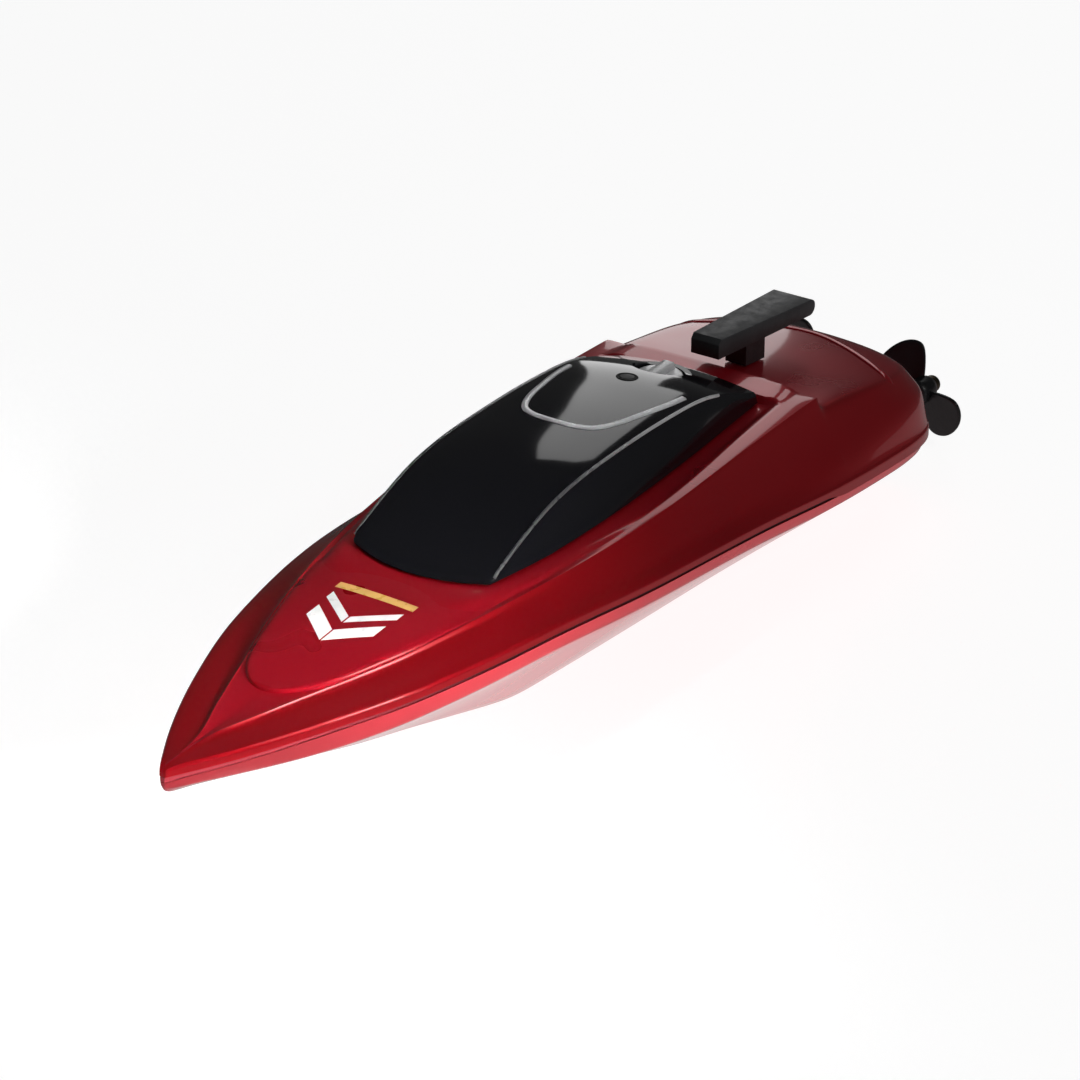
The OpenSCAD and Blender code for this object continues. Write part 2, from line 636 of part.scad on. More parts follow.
// Canopy with its latch boss and two gooseneck hinge arms
module canopy_shell() {
    color([0.08, 0.08, 0.1])
        from_transom()
            difference() {
                union() {
                    shell(canopy_rings(), canopy_hollow(), true);
                    post(knob_s, 0, pocket_z - boss_floor, boss_z, knob_d + 2 * (pass + canopy_wall));
                    for (y = [arm_y, -arm_y])
                        hinge_arm(y);
                }
                post(knob_s, 0, pocket_z, boss_z + roof_h, knob_d + 2 * pass);
                post(knob_s, 0, pocket_z - 2 * boss_floor, pocket_z + 1, spindle_d + 2 * run);
                post(lens_s, 0, edge_z, edge_z + 2 * roof_h, lens_d + 2 * run);
                translate([hinge_s, 0, hinge_z])
                    rotate([90, 0, 0])
                        cylinder(h = 4 * arm_y, d = pin_d + 2 * run, center = true);
            }
}
module hinge_arm(y) {
    stub_s = arm_r * cos(arm_up);
    translate([hinge_s, y + arm_w / 2, hinge_z])
        rotate([90, 0, 0])
            linear_extrude(arm_w) {
                circle(r = eye_r);
                rotate(arm_down - 5)
                    translate([0, -arm_t / 2])
                        square([arm_r, arm_t]);
                polygon(concat(
                    [for (a = [arm_up:6:arm_down]) (arm_r + arm_t / 2) * [cos(a), sin(a)]],
                    [for (a = [arm_down:-6:arm_up]) (arm_r - arm_t / 2) * [cos(a), sin(a)]]));
                translate([stub_s - arm_t / 2, arm_r * sin(arm_up) - 1])
                    square([arm_t, edge_z - hinge_z + 1.6 - arm_r * sin(arm_up)]);
            }
}

// Bright strip let onto the roof round the sunroof, open at the rear
trim_d = 1.2;
trim_l = 31;
trim_rear = canopy_rear + 28;
// Shares of the strip's length and of the roof's half width
trim_plan = [[0, 0.85], [0.2, 0.825], [0.45, 0.755], [0.72, 0.66], [0.9, 0.525], [0.977, 0.34],
    [1, 0.125]];
function on_roof(s, y) =
    let (i = span_of([for (c = canopy_stations) [c, 0]], s),
        a = canopy_stations[i], b = canopy_stations[i + 1],
        v = (s - a) / (b - a), line = function (c) lookup(y, [[0, roof_z(c)],
            [crease_y(c) * 0.55, crease_z(c) * 0.3 + roof_z(c) * 0.7], [crease_y(c), crease_z(c)]]))
    (1 - v) * line(a) + v * line(b);
module roof_trim() {
    lift = trim_d / 2 + seat;
    half = [for (p = trim_plan)
        let (s = trim_rear + trim_l * p[0], y = roof_w / 2 * p[1])
        [s, y, on_roof(s, y) + lift]];
    last = len(half) - 1;
    color("silver")
        from_transom()
            tube(concat(half, [for (i = [last:-1:0]) [half[i][0], -half[i][1], half[i][2]]]), trim_d, 6);
}
module roof_lens() {
    color("black")
        from_transom()
            post(lens_s, 0, roof_z(lens_s) - 2, roof_z(lens_s) + 0.3, lens_d);
}

module hinge_pin() {
    color("silver")
        from_transom()
            translate([hinge_s, 0, hinge_z])
                rotate([90, 0, 0])
                    cylinder(h = 2 * (lug_y + lug_w), d = pin_d, center = true);
}

// Quarter-turn latch: knob with its spindle, tongue and nut
module latch_knob() {
    grip_w = 3;
    color("gray")
        from_transom() {
            post(knob_s, 0, pocket_z + seat, pocket_z + knob_h / 2, knob_d);
            translate([knob_s, 0, pocket_z + knob_h / 2])
                difference() {
                    cylinder(h = knob_h / 2, d1 = knob_d, d2 = knob_d - 2);
                    for (side = [1, -1])
                        translate([-knob_d, side > 0 ? grip_w / 2 : -grip_w / 2 - knob_d, knob_h / 8])
                            cube([2 * knob_d, knob_d, knob_h]);
                }
            post(knob_s, 0, tongue_z - latch_nut_t - 1, pocket_z + 1, spindle_d);
        }
}
module latch_tongue() {
    color("darkgray")
        from_transom()
            difference() {
                union() {
                    post(knob_s, 0, tongue_z, tongue_z + tongue_t, spindle_d + 5);
                    block([knob_s - tongue_w / 2, 0, tongue_z],
                        [knob_s + tongue_w / 2, tongue_l, tongue_z + tongue_t]);
                }
                post(knob_s, 0, tongue_z - 1, tongue_z + tongue_t + 1, spindle_d + 2 * run);
            }
}
module latch_nut() {
    color("silver")
        from_transom()
            difference() {
                translate([knob_s, 0, tongue_z - seat - latch_nut_t])
                    cylinder(h = latch_nut_t, d = spindle_d + 4, $fn = 6);
                post(knob_s, 0, tongue_z - 5, tongue_z + 5, spindle_d + 2 * run);
            }
}

// Stern gear, one set for each side
module stern_tube(side) {
    color("goldenrod")
        on_shaft(side)
            difference() {
                rod(tube_from, tube_to, tube_d);
                rod(tube_from - 1, tube_to + 1, tube_bore);
            }
}
module bushes(side) {
    color("ivory")
        on_shaft(side)
            for (a = [tube_from, tube_to - bush_l])
                difference() {
                    rod(a, a + bush_l, tube_bore - 2 * run);
                    rod(a - 1, a + bush_l + 1, shaft_d + 2 * run);
                }
}
module gland(side) {
    gland_d = 9;
    gland_t = 2.6;
    z = prop_z + prop_back * tan(shaft_tilt);
    color("black")
        difference() {
            from_transom()
                translate([-gland_t - seat, side * prop_y, z])
                    rotate([0, 90, 0])
                        cylinder(h = gland_t, d = gland_d);
            on_shaft(side)
                rod(prop_back - 3 * tube_d, prop_back + tube_d, tube_d + 2 * run);
        }
}
module prop_shaft(side) {
    color("silver")
        on_shaft(side) {
            rod(-hub_l / 2 - nut_l - pass, shafts_meet - seat, shaft_d);
            rod(hub_l / 2 + seat, hub_l / 2 + seat + collar_l, collar_d);
        }
}
module propeller(side) {
    blade_r = prop_d / 2;
    root = [hub_d / 4, -hub_d / 4];
    tip = [for (k = [-0.5:0.125:0.5]) blade_r * [cos(k * blade_span), sin(k * blade_span)]];
    color([0.1, 0.1, 0.1])
        on_shaft(side)
            difference() {
                union() {
                    rod(-hub_l / 2, hub_l / 2, hub_d);
                    for (k = [1:blade_n])
                        rotate([blade_turn + 360 * k / blade_n, 0, 0])
                            rotate([0, side * blade_pitch, 0])
                                rotate([90, 0, 90])
                                    translate([0, 0, -blade_t / 2])
                                        linear_extrude(blade_t)
                                            polygon(concat([root], tip, [[root[0], -root[1]]]));
                }
                rod(-hub_l, hub_l, shaft_d + 2 * run);
            }
}
module prop_nut(side) {
    color("goldenrod")
        on_shaft(side)
            difference() {
                rod(-hub_l / 2 - seat - nut_l, -hub_l / 2 - seat, nut_d);
                rod(-hub_l / 2 - seat - nut_l - 1, hub_l, shaft_d + 2 * run);
            }
}
module coupling(side) {
    color("orange")
        on_shaft(side)
            difference() {
                rod(coupling_from, coupling_to, coupling_d);
                rod(coupling_from - 1, coupling_to + 1, shaft_d + 2 * run);
            }
}
module rotor(side) {
    color("chocolate")
        on_shaft(side) {
            rod(shafts_meet + seat, cap_to - cap_floor - pass, shaft_d);
            rod(can_from + can_wall + winding_in, can_to - cap_plug - winding_in,
                motor_bore - 2 * rotor_gap);
        }
}
module motor_can(side) {
    color("silver")
        on_shaft(side)
            difference() {
                union() {
                    rod(can_from, can_to, motor_d);
                    rod(can_from - bearing_l, can_from + can_wall, bearing_d);
                }
                rod(can_from + can_wall, can_to + 1, motor_bore);
                rod(can_from - 2, can_to, shaft_d + 2 * run);
            }
}
module motor_cap(side) {
    color("ivory")
        on_shaft(side) {
            difference() {
                union() {
                    rod(can_to + seat, cap_to, motor_d - can_wall / 2);
                    rod(can_to - cap_plug, can_to + 2 * seat, motor_bore - 2 * seat);
                }
                rod(can_to - cap_plug - 1, cap_to - cap_floor, shaft_d + 2 * run);
            }
            for (y = [terminal_y, -terminal_y])
                translate([cap_to - cap_l / 4, y - terminal[1] / 2, -terminal[2] / 2])
                    cube(terminal);
        }
}

// Cradle on the keel pad under both motors, and the strap that holds them down
cradle_in = 7;
cradle_l = 12;
cradle_from = can_from + cradle_in;
cradle_to = cradle_from + cradle_l;
cradle_half = [[6.5, wall + seat], [20, 12.4], [23.5, 15.8], [23.5, 24]];
module cradle_plane() {
    from_transom()
        translate([-prop_back, 0, prop_z])
            rotate([0, -shaft_tilt, 0])
                children();
}
module motor_cradle() {
    half_n = len(cradle_half);
    color("black")
        difference() {
            from_transom()
                translate([cradle_from - prop_back, 0, 0])
                    rotate([90, 0, 90])
                        linear_extrude(cradle_to - cradle_from)
                            polygon(concat(cradle_half,
                                [for (i = [half_n - 1:-1:0]) [-cradle_half[i][0], cradle_half[i][1]]]));
            cradle_plane()
                block([can_from - motor_d, -beam / 2, -2 * seat], [can_to + motor_d, beam / 2, 2 * motor_d]);
            for (side = [1, -1])
                on_shaft(side)
                    rod(can_from - motor_d, can_to + motor_d, motor_d + 2 * seat);
            cradle_plane()
                for (x = clamp_screws_at)
                    post(x, 0, -screw_in - pass, clamp_flange, screw_d + 2 * run);
        }
}
clamp_from = cradle_from + 2;
clamp_to = clamp_from + 8;
clamp_t = 1.8;
clamp_flange = 3.6;
screw_in = 8;
clamp_half = prop_y + 3;
clamp_screws_at = [clamp_from + head_d * 0.65, clamp_to - head_d * 0.65];
module motor_clamp() {
    color("black")
        difference() {
            cradle_plane()
                intersection() {
                    union() {
                        for (side = [1, -1])
                            translate([0, side * prop_y, 0])
                                rod(clamp_from, clamp_to, motor_d + 2 * seat + 2 * clamp_t);
                        block([clamp_from, motor_d / 2 - prop_y, 0],
                            [clamp_to, prop_y - motor_d / 2, clamp_flange]);
                    }
                    block([clamp_from - 1, -clamp_half, seat], [clamp_to + 1, clamp_half, motor_d]);
                }
            for (side = [1, -1])
                on_shaft(side)
                    rod(clamp_from - motor_d, clamp_to + motor_d, motor_d + 2 * seat);
            cradle_plane()
                for (x = clamp_screws_at)
                    post(x, 0, -screw_in, motor_d, screw_d + 2 * run);
        }
}
module clamp_screws() {
    color("silver")
        cradle_plane()
            for (x = clamp_screws_at) {
                post(x, 0, clamp_flange + seat, clamp_flange + seat + head_t, head_d);
                post(x, 0, -screw_in, clamp_flange + seat + head_t / 2, screw_d);
            }
}

// Battery in its tray, with the strap over it
tray_gap = 0.3;
tray_half = battery_w / 2 + tray_gap + tray_wall;
tray_from = battery_s - tray_gap - tray_wall;
tray_to = battery_s + battery_l + tray_gap + tray_wall;
tray_side_h = 8;
rib_y = 4;
rib_in = 5;
strap_w = 8;
strap_t = 1;
strap_s = battery_s + battery_l / 2;
battery_top = tray_z + seat + battery_h;
module battery_tray() {
    color("dimgray")
        from_transom() {
            difference() {
                translate([tray_from, 0, 0])
                    rotate([90, 0, 90])
                        linear_extrude(tray_to - tray_from)
                            polygon([
                                [-tray_half + 3, tray_z - tray_wall], [tray_half - 3, tray_z - tray_wall],
                                [tray_half, tray_z + 1], [tray_half, tray_z + tray_side_h],
                                [-tray_half, tray_z + tray_side_h], [-tray_half, tray_z + 1]]);
                block([battery_s - tray_gap, -battery_w / 2 - tray_gap, tray_z],
                    [battery_s + battery_l + tray_gap, battery_w / 2 + tray_gap, tray_z + tray_side_h + 1]);
            }
            for (y = [rib_y, -rib_y])
                block([tray_from + rib_in, y - tray_wall / 2, wall + seat],
                    [tray_to - rib_in, y + tray_wall / 2, tray_z - tray_wall / 2]);
        }
}
module battery_pack() {
    chamfer = 2.5;
    w = battery_w / 2;
    color("royalblue")
        from_transom()
            translate([battery_s, 0, tray_z + seat])
                rotate([90, 0, 90])
                    linear_extrude(battery_l)
                        polygon([
                            [-w + chamfer, 0], [w - chamfer, 0], [w, chamfer], [w, battery_h - chamfer],
                            [w - chamfer, battery_h], [-w + chamfer, battery_h],
                            [-w, battery_h - chamfer], [-w, chamfer]]);
}
module battery_strap() {
    inner = tray_half + seat;
    foot = tray_z + 3;
    top = battery_top + seat;
    color([0.15, 0.15, 0.15])
        from_transom()
            translate([strap_s - strap_w / 2, 0, 0])
                rotate([90, 0, 90])
                    linear_extrude(strap_w)
                        polygon([
                            [inner, foot], [inner + strap_t, foot], [inner + strap_t, top + strap_t],
                            [-inner - strap_t, top + strap_t], [-inner - strap_t, foot], [-inner, foot],
                            [-inner, top], [inner, top]]);
}

// Receiver on its foam block ahead of the battery, with the power switch on the board
pad_from = tray_to + 5;
pad_to = pad_l - 2;
pad_half = 2.6;
board_z = tray_z + 2;
board_from = tray_to + 3;
chip_t = 1.6;
// Chips on the board: along, across, length and width
chips = [[5.5, 1.6, 5, 4], [5.5, -6, 4, 3], [11.5, -2.5, 5.5, 5], [12.5, 4.2, 3.5, 2]];
switch_s = board_from + board_l - 6;
switch_size = [5, 11, 4];
slider_size = [2.4, 3, 2];
module receiver_pad() {
    color("gold")
        from_transom()
            block([pad_from, -pad_half, wall + 2 * seat], [pad_to, pad_half, board_z - seat]);
}
module receiver_board() {
    color("seagreen")
        from_transom()
            block([board_from, -board_w / 2, board_z],
                [board_from + board_l, board_w / 2, board_z + board_t]);
}
module receiver_chips() {
    top = board_z + board_t + seat;
    color([0.1, 0.1, 0.1])
        from_transom()
            for (c = chips)
                block([board_from + c[0], c[1], top], [board_from + c[0] + c[2], c[1] + c[3], top + chip_t]);
}
slot_half = slider_size[1] / 2 + switch_travel / 2 + seat;
module switch_body() {
    top = board_z + board_t + seat + switch_size[2];
    color("silver")
        from_transom()
            difference() {
                block([switch_s - switch_size[0] / 2, -switch_size[1] / 2, top - switch_size[2]],
                    [switch_s + switch_size[0] / 2, switch_size[1] / 2, top]);
                block([switch_s - slider_size[0] / 2 - seat, -slot_half, top - 2],
                    [switch_s + slider_size[0] / 2 + seat, slot_half, top + 1]);
            }
}
module switch_slider() {
    top = board_z + board_t + seat + switch_size[2];
    from = -switch_travel / 2 - slider_size[1] / 2;
    color("black")
        from_transom()
            block([switch_s - slider_size[0] / 2, from, top - 2 + seat],
                [switch_s + slider_size[0] / 2, from + slider_size[1], top + slider_size[2]]);
}

// Pins in the keel pad that feel the water
module water_contacts() {
    color("silver")
        from_transom()
            for (y = [contact_y, -contact_y])
                post(contact_s, y, 0.3, contact_up, contact_d);
}

// Wires inside the hull; their routes are measured from the transom
lead_d = 1.2;
aerial_d = 0.9;
lead_end_z = board_z + board_t + seat;
motor_route = [[69, 14.5, 21.4], [73, 17, 22], [80, 17.6, 22.4], [100, 17.6, 22.4], [116, 17, 22.6],
               [123, 15, 22.4], [127.5, 10, 20.8], [130, 6.2, 18], [130.5, 5.5, 16.5]];
battery_route = [[122.6, 0, 26.9], [125, 0, 26], [128, 0, 22], [129.5, 0, 18], [129.6, 0, 16.4]];
aerial_route = [[151, 5.6, 16.4], [151.5, 5.8, 19], [155, 7, 24], [161, 10, 31], [167, 14, 38],
                [170, 17.5, 43], [170.5, 18, 45.6]];
function landed(route) = concat(route, [[route[len(route) - 1][0], route[len(route) - 1][1], lead_end_z]]);
module motor_lead(side) {
    along = cap_to + terminal[0];
    terminal_at = [[along - prop_back, prop_y - terminal_y, prop_z + along * tan(shaft_tilt)]];
    color("red")
        from_transom()
            tube([for (p = landed(concat(terminal_at, motor_route))) [p[0], side * p[1], p[2]]], lead_d);
}
module battery_lead() {
    color("red")
        from_transom()
            tube(landed(battery_route), lead_d);
}
module aerial_wire() {
    color("black")
        from_transom()
            tube(concat([[aerial_route[0][0], aerial_route[0][1], lead_end_z]], aerial_route), aerial_d);
}

hull_shell();
deck_shell();
seam_gasket();
hatch_gasket();
carry_handle();
handle_screws();
canopy_shell();
roof_trim();
roof_lens();
hinge_pin();
latch_knob();
latch_tongue();
latch_nut();
stern_tube(1);  // port_stern_tube
stern_tube(-1);  // starboard_stern_tube
bushes(1);  // port_bushes
bushes(-1);  // starboard_bushes
gland(1);  // port_gland
gland(-1);  // starboard_gland
prop_shaft(1);  // port_prop_shaft
prop_shaft(-1);  // starboard_prop_shaft
propeller(1);  // port_propeller
propeller(-1);  // starboard_propeller
prop_nut(1);  // port_prop_nut
prop_nut(-1);  // starboard_prop_nut
coupling(1);  // port_coupling
coupling(-1);  // starboard_coupling
rotor(1);  // port_rotor
rotor(-1);  // starboard_rotor
motor_can(1);  // port_motor_can
motor_can(-1);  // starboard_motor_can
motor_cap(1);  // port_motor_cap
motor_cap(-1);  // starboard_motor_cap
motor_cradle();
motor_clamp();
clamp_screws();
battery_tray();
battery_pack();
battery_strap();
receiver_pad();
receiver_board();
receiver_chips();
switch_body();
switch_slider();
water_contacts();
motor_lead(1);  // port_motor_lead
motor_lead(-1);  // starboard_motor_lead
battery_lead();
aerial_wire();
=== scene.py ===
"""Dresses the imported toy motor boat: lofted skins, small fittings, finishes and a plain studio."""
import json
import math
from contextlib import contextmanager

import bmesh
import bpy
from bpy.props import FloatProperty, FloatVectorProperty, PointerProperty
from mathutils import Matrix, Vector
from mathutils.bvhtree import BVHTree


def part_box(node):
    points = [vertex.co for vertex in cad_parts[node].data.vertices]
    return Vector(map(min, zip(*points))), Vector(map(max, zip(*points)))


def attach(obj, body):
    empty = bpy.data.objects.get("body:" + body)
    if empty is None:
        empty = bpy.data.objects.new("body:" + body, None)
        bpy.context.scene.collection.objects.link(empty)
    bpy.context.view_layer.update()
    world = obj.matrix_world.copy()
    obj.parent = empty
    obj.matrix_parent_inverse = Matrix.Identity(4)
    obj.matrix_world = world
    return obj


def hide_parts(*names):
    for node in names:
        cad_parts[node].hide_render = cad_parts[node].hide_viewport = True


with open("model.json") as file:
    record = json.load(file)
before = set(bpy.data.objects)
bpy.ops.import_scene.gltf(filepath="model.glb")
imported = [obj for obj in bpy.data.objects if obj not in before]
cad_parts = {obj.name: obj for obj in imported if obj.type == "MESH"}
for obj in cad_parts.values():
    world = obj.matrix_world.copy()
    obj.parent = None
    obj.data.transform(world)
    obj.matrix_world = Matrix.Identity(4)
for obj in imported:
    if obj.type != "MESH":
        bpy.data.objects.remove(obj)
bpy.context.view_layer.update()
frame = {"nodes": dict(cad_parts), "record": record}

bl_info = {
    "name": "Toy motor boat",
    "version": (1, 0, 0),
    "blender": (4, 5, 0),
    "location": "View3D > Sidebar > Boat",
    "description": "Models the visible pieces of a toy motor boat around its packed frame",
    "category": "Object",
}

MM = 0.001
HULL_LOW, HULL_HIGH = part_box("hull_shell")
CANOPY_LOW, CANOPY_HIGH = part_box("canopy_shell")
STERN_X = float(HULL_LOW[0])


def size(name, text, default, low, high):
    """A length that a user may change."""
    return FloatProperty(name=name, description=text, default=default, min=low, max=high,
                         precision=4, subtype="DISTANCE", unit="LENGTH")


def colour(name, text, red, green, blue):
    """A colour that a user may change."""
    return FloatVectorProperty(name=name, description=text, default=(red, green, blue, 1.0),
                               size=4, min=0.0, max=1.0, subtype="COLOR")


class BoatSizes(bpy.types.PropertyGroup):
    """Sizes of the boat's skins and fittings."""

    hull_length: size("Hull length", "From the transom to the tip of the bow",
                      float(HULL_HIGH[0] - HULL_LOW[0]), 0.2, 0.4)
    beam: size("Beam", "Greatest breadth over the rub edge", 0.0796, 0.06, 0.1)
    wall: size("Wall", "Thickness of the hull and the deck", 0.0018, 0.001, 0.003)
    lip_height: size("Lip height", "Height of the deck's lip above the seam", 0.0022, 0.001, 0.004)
    lip_overhang: size("Lip overhang", "How far the lip stands out over the hull",
                       0.0007, 0.0002, 0.002)
    seam: size("Seam", "Thickness of the seam gasket", 0.0014, 0.0005, 0.003)
    canopy_width: size("Canopy width", "Greatest width of the canopy at its edge",
                       float(CANOPY_HIGH[1] - CANOPY_LOW[1]), 0.04, 0.05)
    roof_width: size("Roof width", "Width of the roof between its creases", 0.038, 0.03, 0.04)
    roof_height: size("Roof height", "Height of the creases above the canopy's edge",
                      0.012, 0.008, 0.016)
    trim_width: size("Trim width", "Width of the bright strip on the roof", 0.0016, 0.0006, 0.002)
    pad_height: size("Bow pad height", "Height of the raised pad on the foredeck",
                     0.001, 0.0002, 0.002)
    propeller: size("Propeller diameter", "Diameter of both propellers", 0.028, 0.02, 0.0285)


class BoatColours(bpy.types.PropertyGroup):
    """Colours of the boat's finishes."""

    # Flare and deck are one candy red: the flare's copy is a little lighter as painted light, for
    # the brighter light on the flared sides
    flare: colour("Flare red", "Bright candy red of the flared sides", 0.46, 0.005, 0.012)
    deck: colour("Deck red", "Deep wine red of the deck's top", 0.42, 0.006, 0.016)
    hull: colour("Hull red", "Red of the lower hull", 0.68, 0.045, 0.06)
    canopy: colour("Canopy black", "Gloss black of the canopy", 0.006, 0.006, 0.008)
    bar: colour("Bar black", "Satin black of the carry bar", 0.036, 0.037, 0.04)
    propeller: colour("Propeller black", "Black of the moulded propellers", 0.007, 0.007, 0.008)
    seal: colour("Seal black", "Black of the rubber seals", 0.008, 0.008, 0.008)
    white: colour("Motif white", "White of the bow motif", 0.85, 0.84, 0.84)
    gold: colour("Motif gold", "Gold of the bow motif", 0.72, 0.42, 0.12)


# Lines of the hull: each point is a share of the length and a share of the size it shapes
RUB_PLAN = ((0, 0.73), (0.008, 0.825), (0.022, 0.892), (0.05, 0.95), (0.09, 0.98), (0.2, 1),
            (0.35, 0.975), (0.5, 0.94), (0.65, 0.847), (0.78, 0.673), (0.88, 0.435), (0.95, 0.216),
            (1, 0.018))
SHEER = ((0, 0), (0.23, 0.37), (0.34, 0.58), (0.5, 0.8), (0.67, 0.99), (0.85, 1), (1, 0.962))
CHINE_PLAN = ((0, 0.965), (0.5, 0.955), (0.8, 0.93), (1, 0.8))
CHINE_DROP = ((0, 0.75), (0.3, 0.85), (0.6, 1), (0.85, 1.2), (1, 0.4))
SHOULDER_PLAN = ((0, 0.52), (0.008, 0.61), (0.022, 0.68), (0.05, 0.74), (0.1, 0.77), (0.2, 0.76),
                 (0.3, 0.774), (0.435, 0.784), (0.5, 0.761), (0.56, 0.72), (0.62, 0.668),
                 (0.694, 0.575), (0.784, 0.42), (0.853, 0.255), (0.914, 0.11), (0.955, 0.012),
                 (1, 0.006))
SHOULDER_RISE = ((0, 0.48), (0.008, 0.53), (0.022, 0.565), (0.05, 0.62), (0.1, 0.72), (0.19, 0.86),
                 (0.3, 0.93), (0.435, 0.97), (0.56, 0.89), (0.694, 0.555), (0.853, 0.13),
                 (0.955, 0.03), (1, 0.02))
RIDGE_INNER = ((0, 0.38), (0.022, 0.54), (0.05, 0.6), (0.1, 0.62), (0.2, 0.608), (0.3, 0.651),
               (0.36, 0.683), (0.435, 0.721), (0.5, 0.719), (0.56, 0.683), (0.62, 0.633),
               (0.694, 0.54), (0.784, 0.4), (0.853, 0.24), (0.914, 0.1), (0.955, 0.009), (1, 0.004))
KNUCKLE_IN = ((0, 0.06), (0.1, 0.055), (0.2, 0.05), (0.3, 0.06), (0.45, 0.066), (0.7, 0.06),
              (0.9, 0.04), (1, 0.002))
KNUCKLE_RISE = ((0, 0.62), (0.04, 0.58), (0.1, 0.44), (0.19, 0.27), (0.3, 0.17), (0.45, 0.16),
                (0.7, 0.25), (1, 0.3))
DECK_RISE = ((0, 0.585), (0.008, 0.64), (0.022, 0.68), (0.11, 0.79), (0.19, 0.9))
BOW_RISE = ((0, 1), (0.05, 0.94), (0.33, 0.57), (0.6, 0.2), (0.86, 0.05), (1, 0.025))
KEEL_RISE = ((0, 0), (0.16, 0.15), (0.32, 0.3), (0.475, 0.44), (0.62, 0.6), (0.76, 0.765), (1, 1))
KEEL_TAPER = ((0, 1), (0.28, 0.85), (0.37, 0.75), (0.45, 0.6), (0.53, 0.4), (0.62, 0.28),
              (0.8, 0.1), (1, 0.01))
CANOPY_PLAN = ((0, 0.86), (0.13, 0.905), (0.34, 0.97), (0.56, 1), (0.78, 0.965), (0.955, 0.83),
               (1, 0.8))
ROOF_RISE = ((0, 0.21), (0.2, 0.86), (0.28, 0.94), (0.44, 1), (0.6, 0.98), (0.73, 0.85),
             (0.86, 0.45), (0.955, 0.07), (1, 0.01))
TRIM_PLAN = ((0, 0.85), (0.2, 0.825), (0.45, 0.755), (0.72, 0.66), (0.9, 0.525), (0.977, 0.34),
             (1, 0.125))

# Places from the transom, heights above the keel pad and other sizes, in millimetres
RUB_STERN_Z, RUB_PEAK_Z, STEM_Z = 23.0, 41.5, 34.5
PAD_W, PAD_L, SIDE_H = 20.0, 146.0, 4.4
HATCH_Z, COAMING_H, COAMING_S, RIDGE_H, RIDGE_L, LEDGE_W = 47.8, 2.0, 54.0, 3.2, 85.0, 3.6
CANOPY_REAR, CANOPY_FRONT, FRONT_BOW, ROOF_CROWN, CANOPY_WALL = 64.5, 182.0, 5.5, 1.8, 1.5
STEP_L, BOW_SOLID, NOSE_L, PASS, SEAT = 1.2, 14.0, 11.0, 0.5, 0.15
COAMING_FRONT = CANOPY_REAR - PASS
EDGE_Z = HATCH_Z + 0.4 + 2 * SEAT
FRONT_CORNER = CANOPY_FRONT - FRONT_BOW
TRIM_REAR, TRIM_L = CANOPY_REAR + 28, 31.0
KNOB_S, LENS_S = CANOPY_REAR + 13.5, CANOPY_REAR + 27.5
WELL_R, WELL_SINK, WELL_DEPTH, LENS_HOLE_R, KNOB_H = 6.5, 0.6, 1.6, 1.95, 3.6
HINGE_S, HINGE_Z, EYE_R, LUG_Y, LUG_RISE = CANOPY_FRONT + 4.0, HATCH_Z - 5.4, 2.4, 9.0, 4.2
ARM_R, ARM_T, ARM_Y, ARM_W = 12.2, 2.0, 7.0, 3.0
PROP_S, PROP_Y, PROP_Z, SHAFT_TILT = -27.0, 15.5, 14.6, math.radians(-3.5)

# Turn of a propeller's first blade at rest, in degrees
PROP_REST = 142.0

# Most that a slope multiplies a wall's thickness, measured upright
SLOPE_GAIN = 2.2

# Spans over which a form of the deck comes or goes, and how much of it there is
FOLD_SPAN, STEP_RISE, STEP_FALL, STEP_H = (150, 185), (150, 190), (246, 263), 0.9
LEAN_SPAN, LEAN, RISER, LIP_SPAN = (165, 182), 0.07, 0.45, (57, 62)

SIDES = ((1, "port"), (-1, "starboard"))

# Lamps: name, place, aim, width, height, watts, spread in degrees and if the paint mirrors them
LAMPS = (("key", (-0.067, 0.787, 0.78), (0.1, 0.0, 0.03), 0.4, 0.4, 0.65, 180.0, True),
         ("bow", (0.342, 0.716, 0.34), (0.165, 0.0, 0.04), 0.12, 0.12, 0.11, 12.0, False),
         ("top", (0.2, 0.2, 1.25), (0.1, 0.0, 0.0), 0.9, 0.9, 1.6, 180.0, False),
         ("side", (0.0, 1.0, 0.04), (0.08, 0.0, 0.04), 0.3, 0.12, 0.22, 180.0, True),
         ("pad", (0.25, 0.12, 0.9), (0.14, 0.0, 0.045), 0.12, 0.12, 0.022, 14.0, False),
         ("glint", (-0.084, 0.747, 0.687), (0.14, 0.0145, 0.0445), 0.15, 0.12, 0.65, 180.0, True),
         ("back_low", (-0.9914, -0.5912, 0.2125), (0.0146, 0.0238, 0.2125), 0.1733, 0.435, 0.26,
          180.0, True),
         ("back_high", (-1.01, -0.5609, 0.7375), (-0.004, 0.0541, 0.7375), 0.2443, 0.615, 0.52,
          180.0, True),
         ("back_box", (-0.98, -0.2, 0.73), (0.0, 0.0, 0.05), 0.24, 0.24, 0.25, 180.0, True))
# Sheets on the floor that only the paint mirrors: name, glow, corner, far corner and height
REFLECTORS = (("reflector", 0.2, (-0.2, -0.07), (0.3, 0.16), -0.00018),
              ("keel_reflector", 0.7, (-0.06, -0.022), (0.25, 0.024), -0.0001))
# Camera: place, turn and pitch, and a lens whose length is given in pixels of the picture
CAMERA_AT = (0.7233, 0.4502, 0.4542)
CAMERA_TURN, CAMERA_PITCH = math.radians(34.0), math.radians(27.6)
SENSOR, PICTURE_PIXELS, LENS_PIXELS = 36.0, 1080.0, 3903.0


def slope_of(points, i):
    """Slope between a point and the next one."""
    return (points[i + 1][1] - points[i][1]) / (points[i + 1][0] - points[i][0])


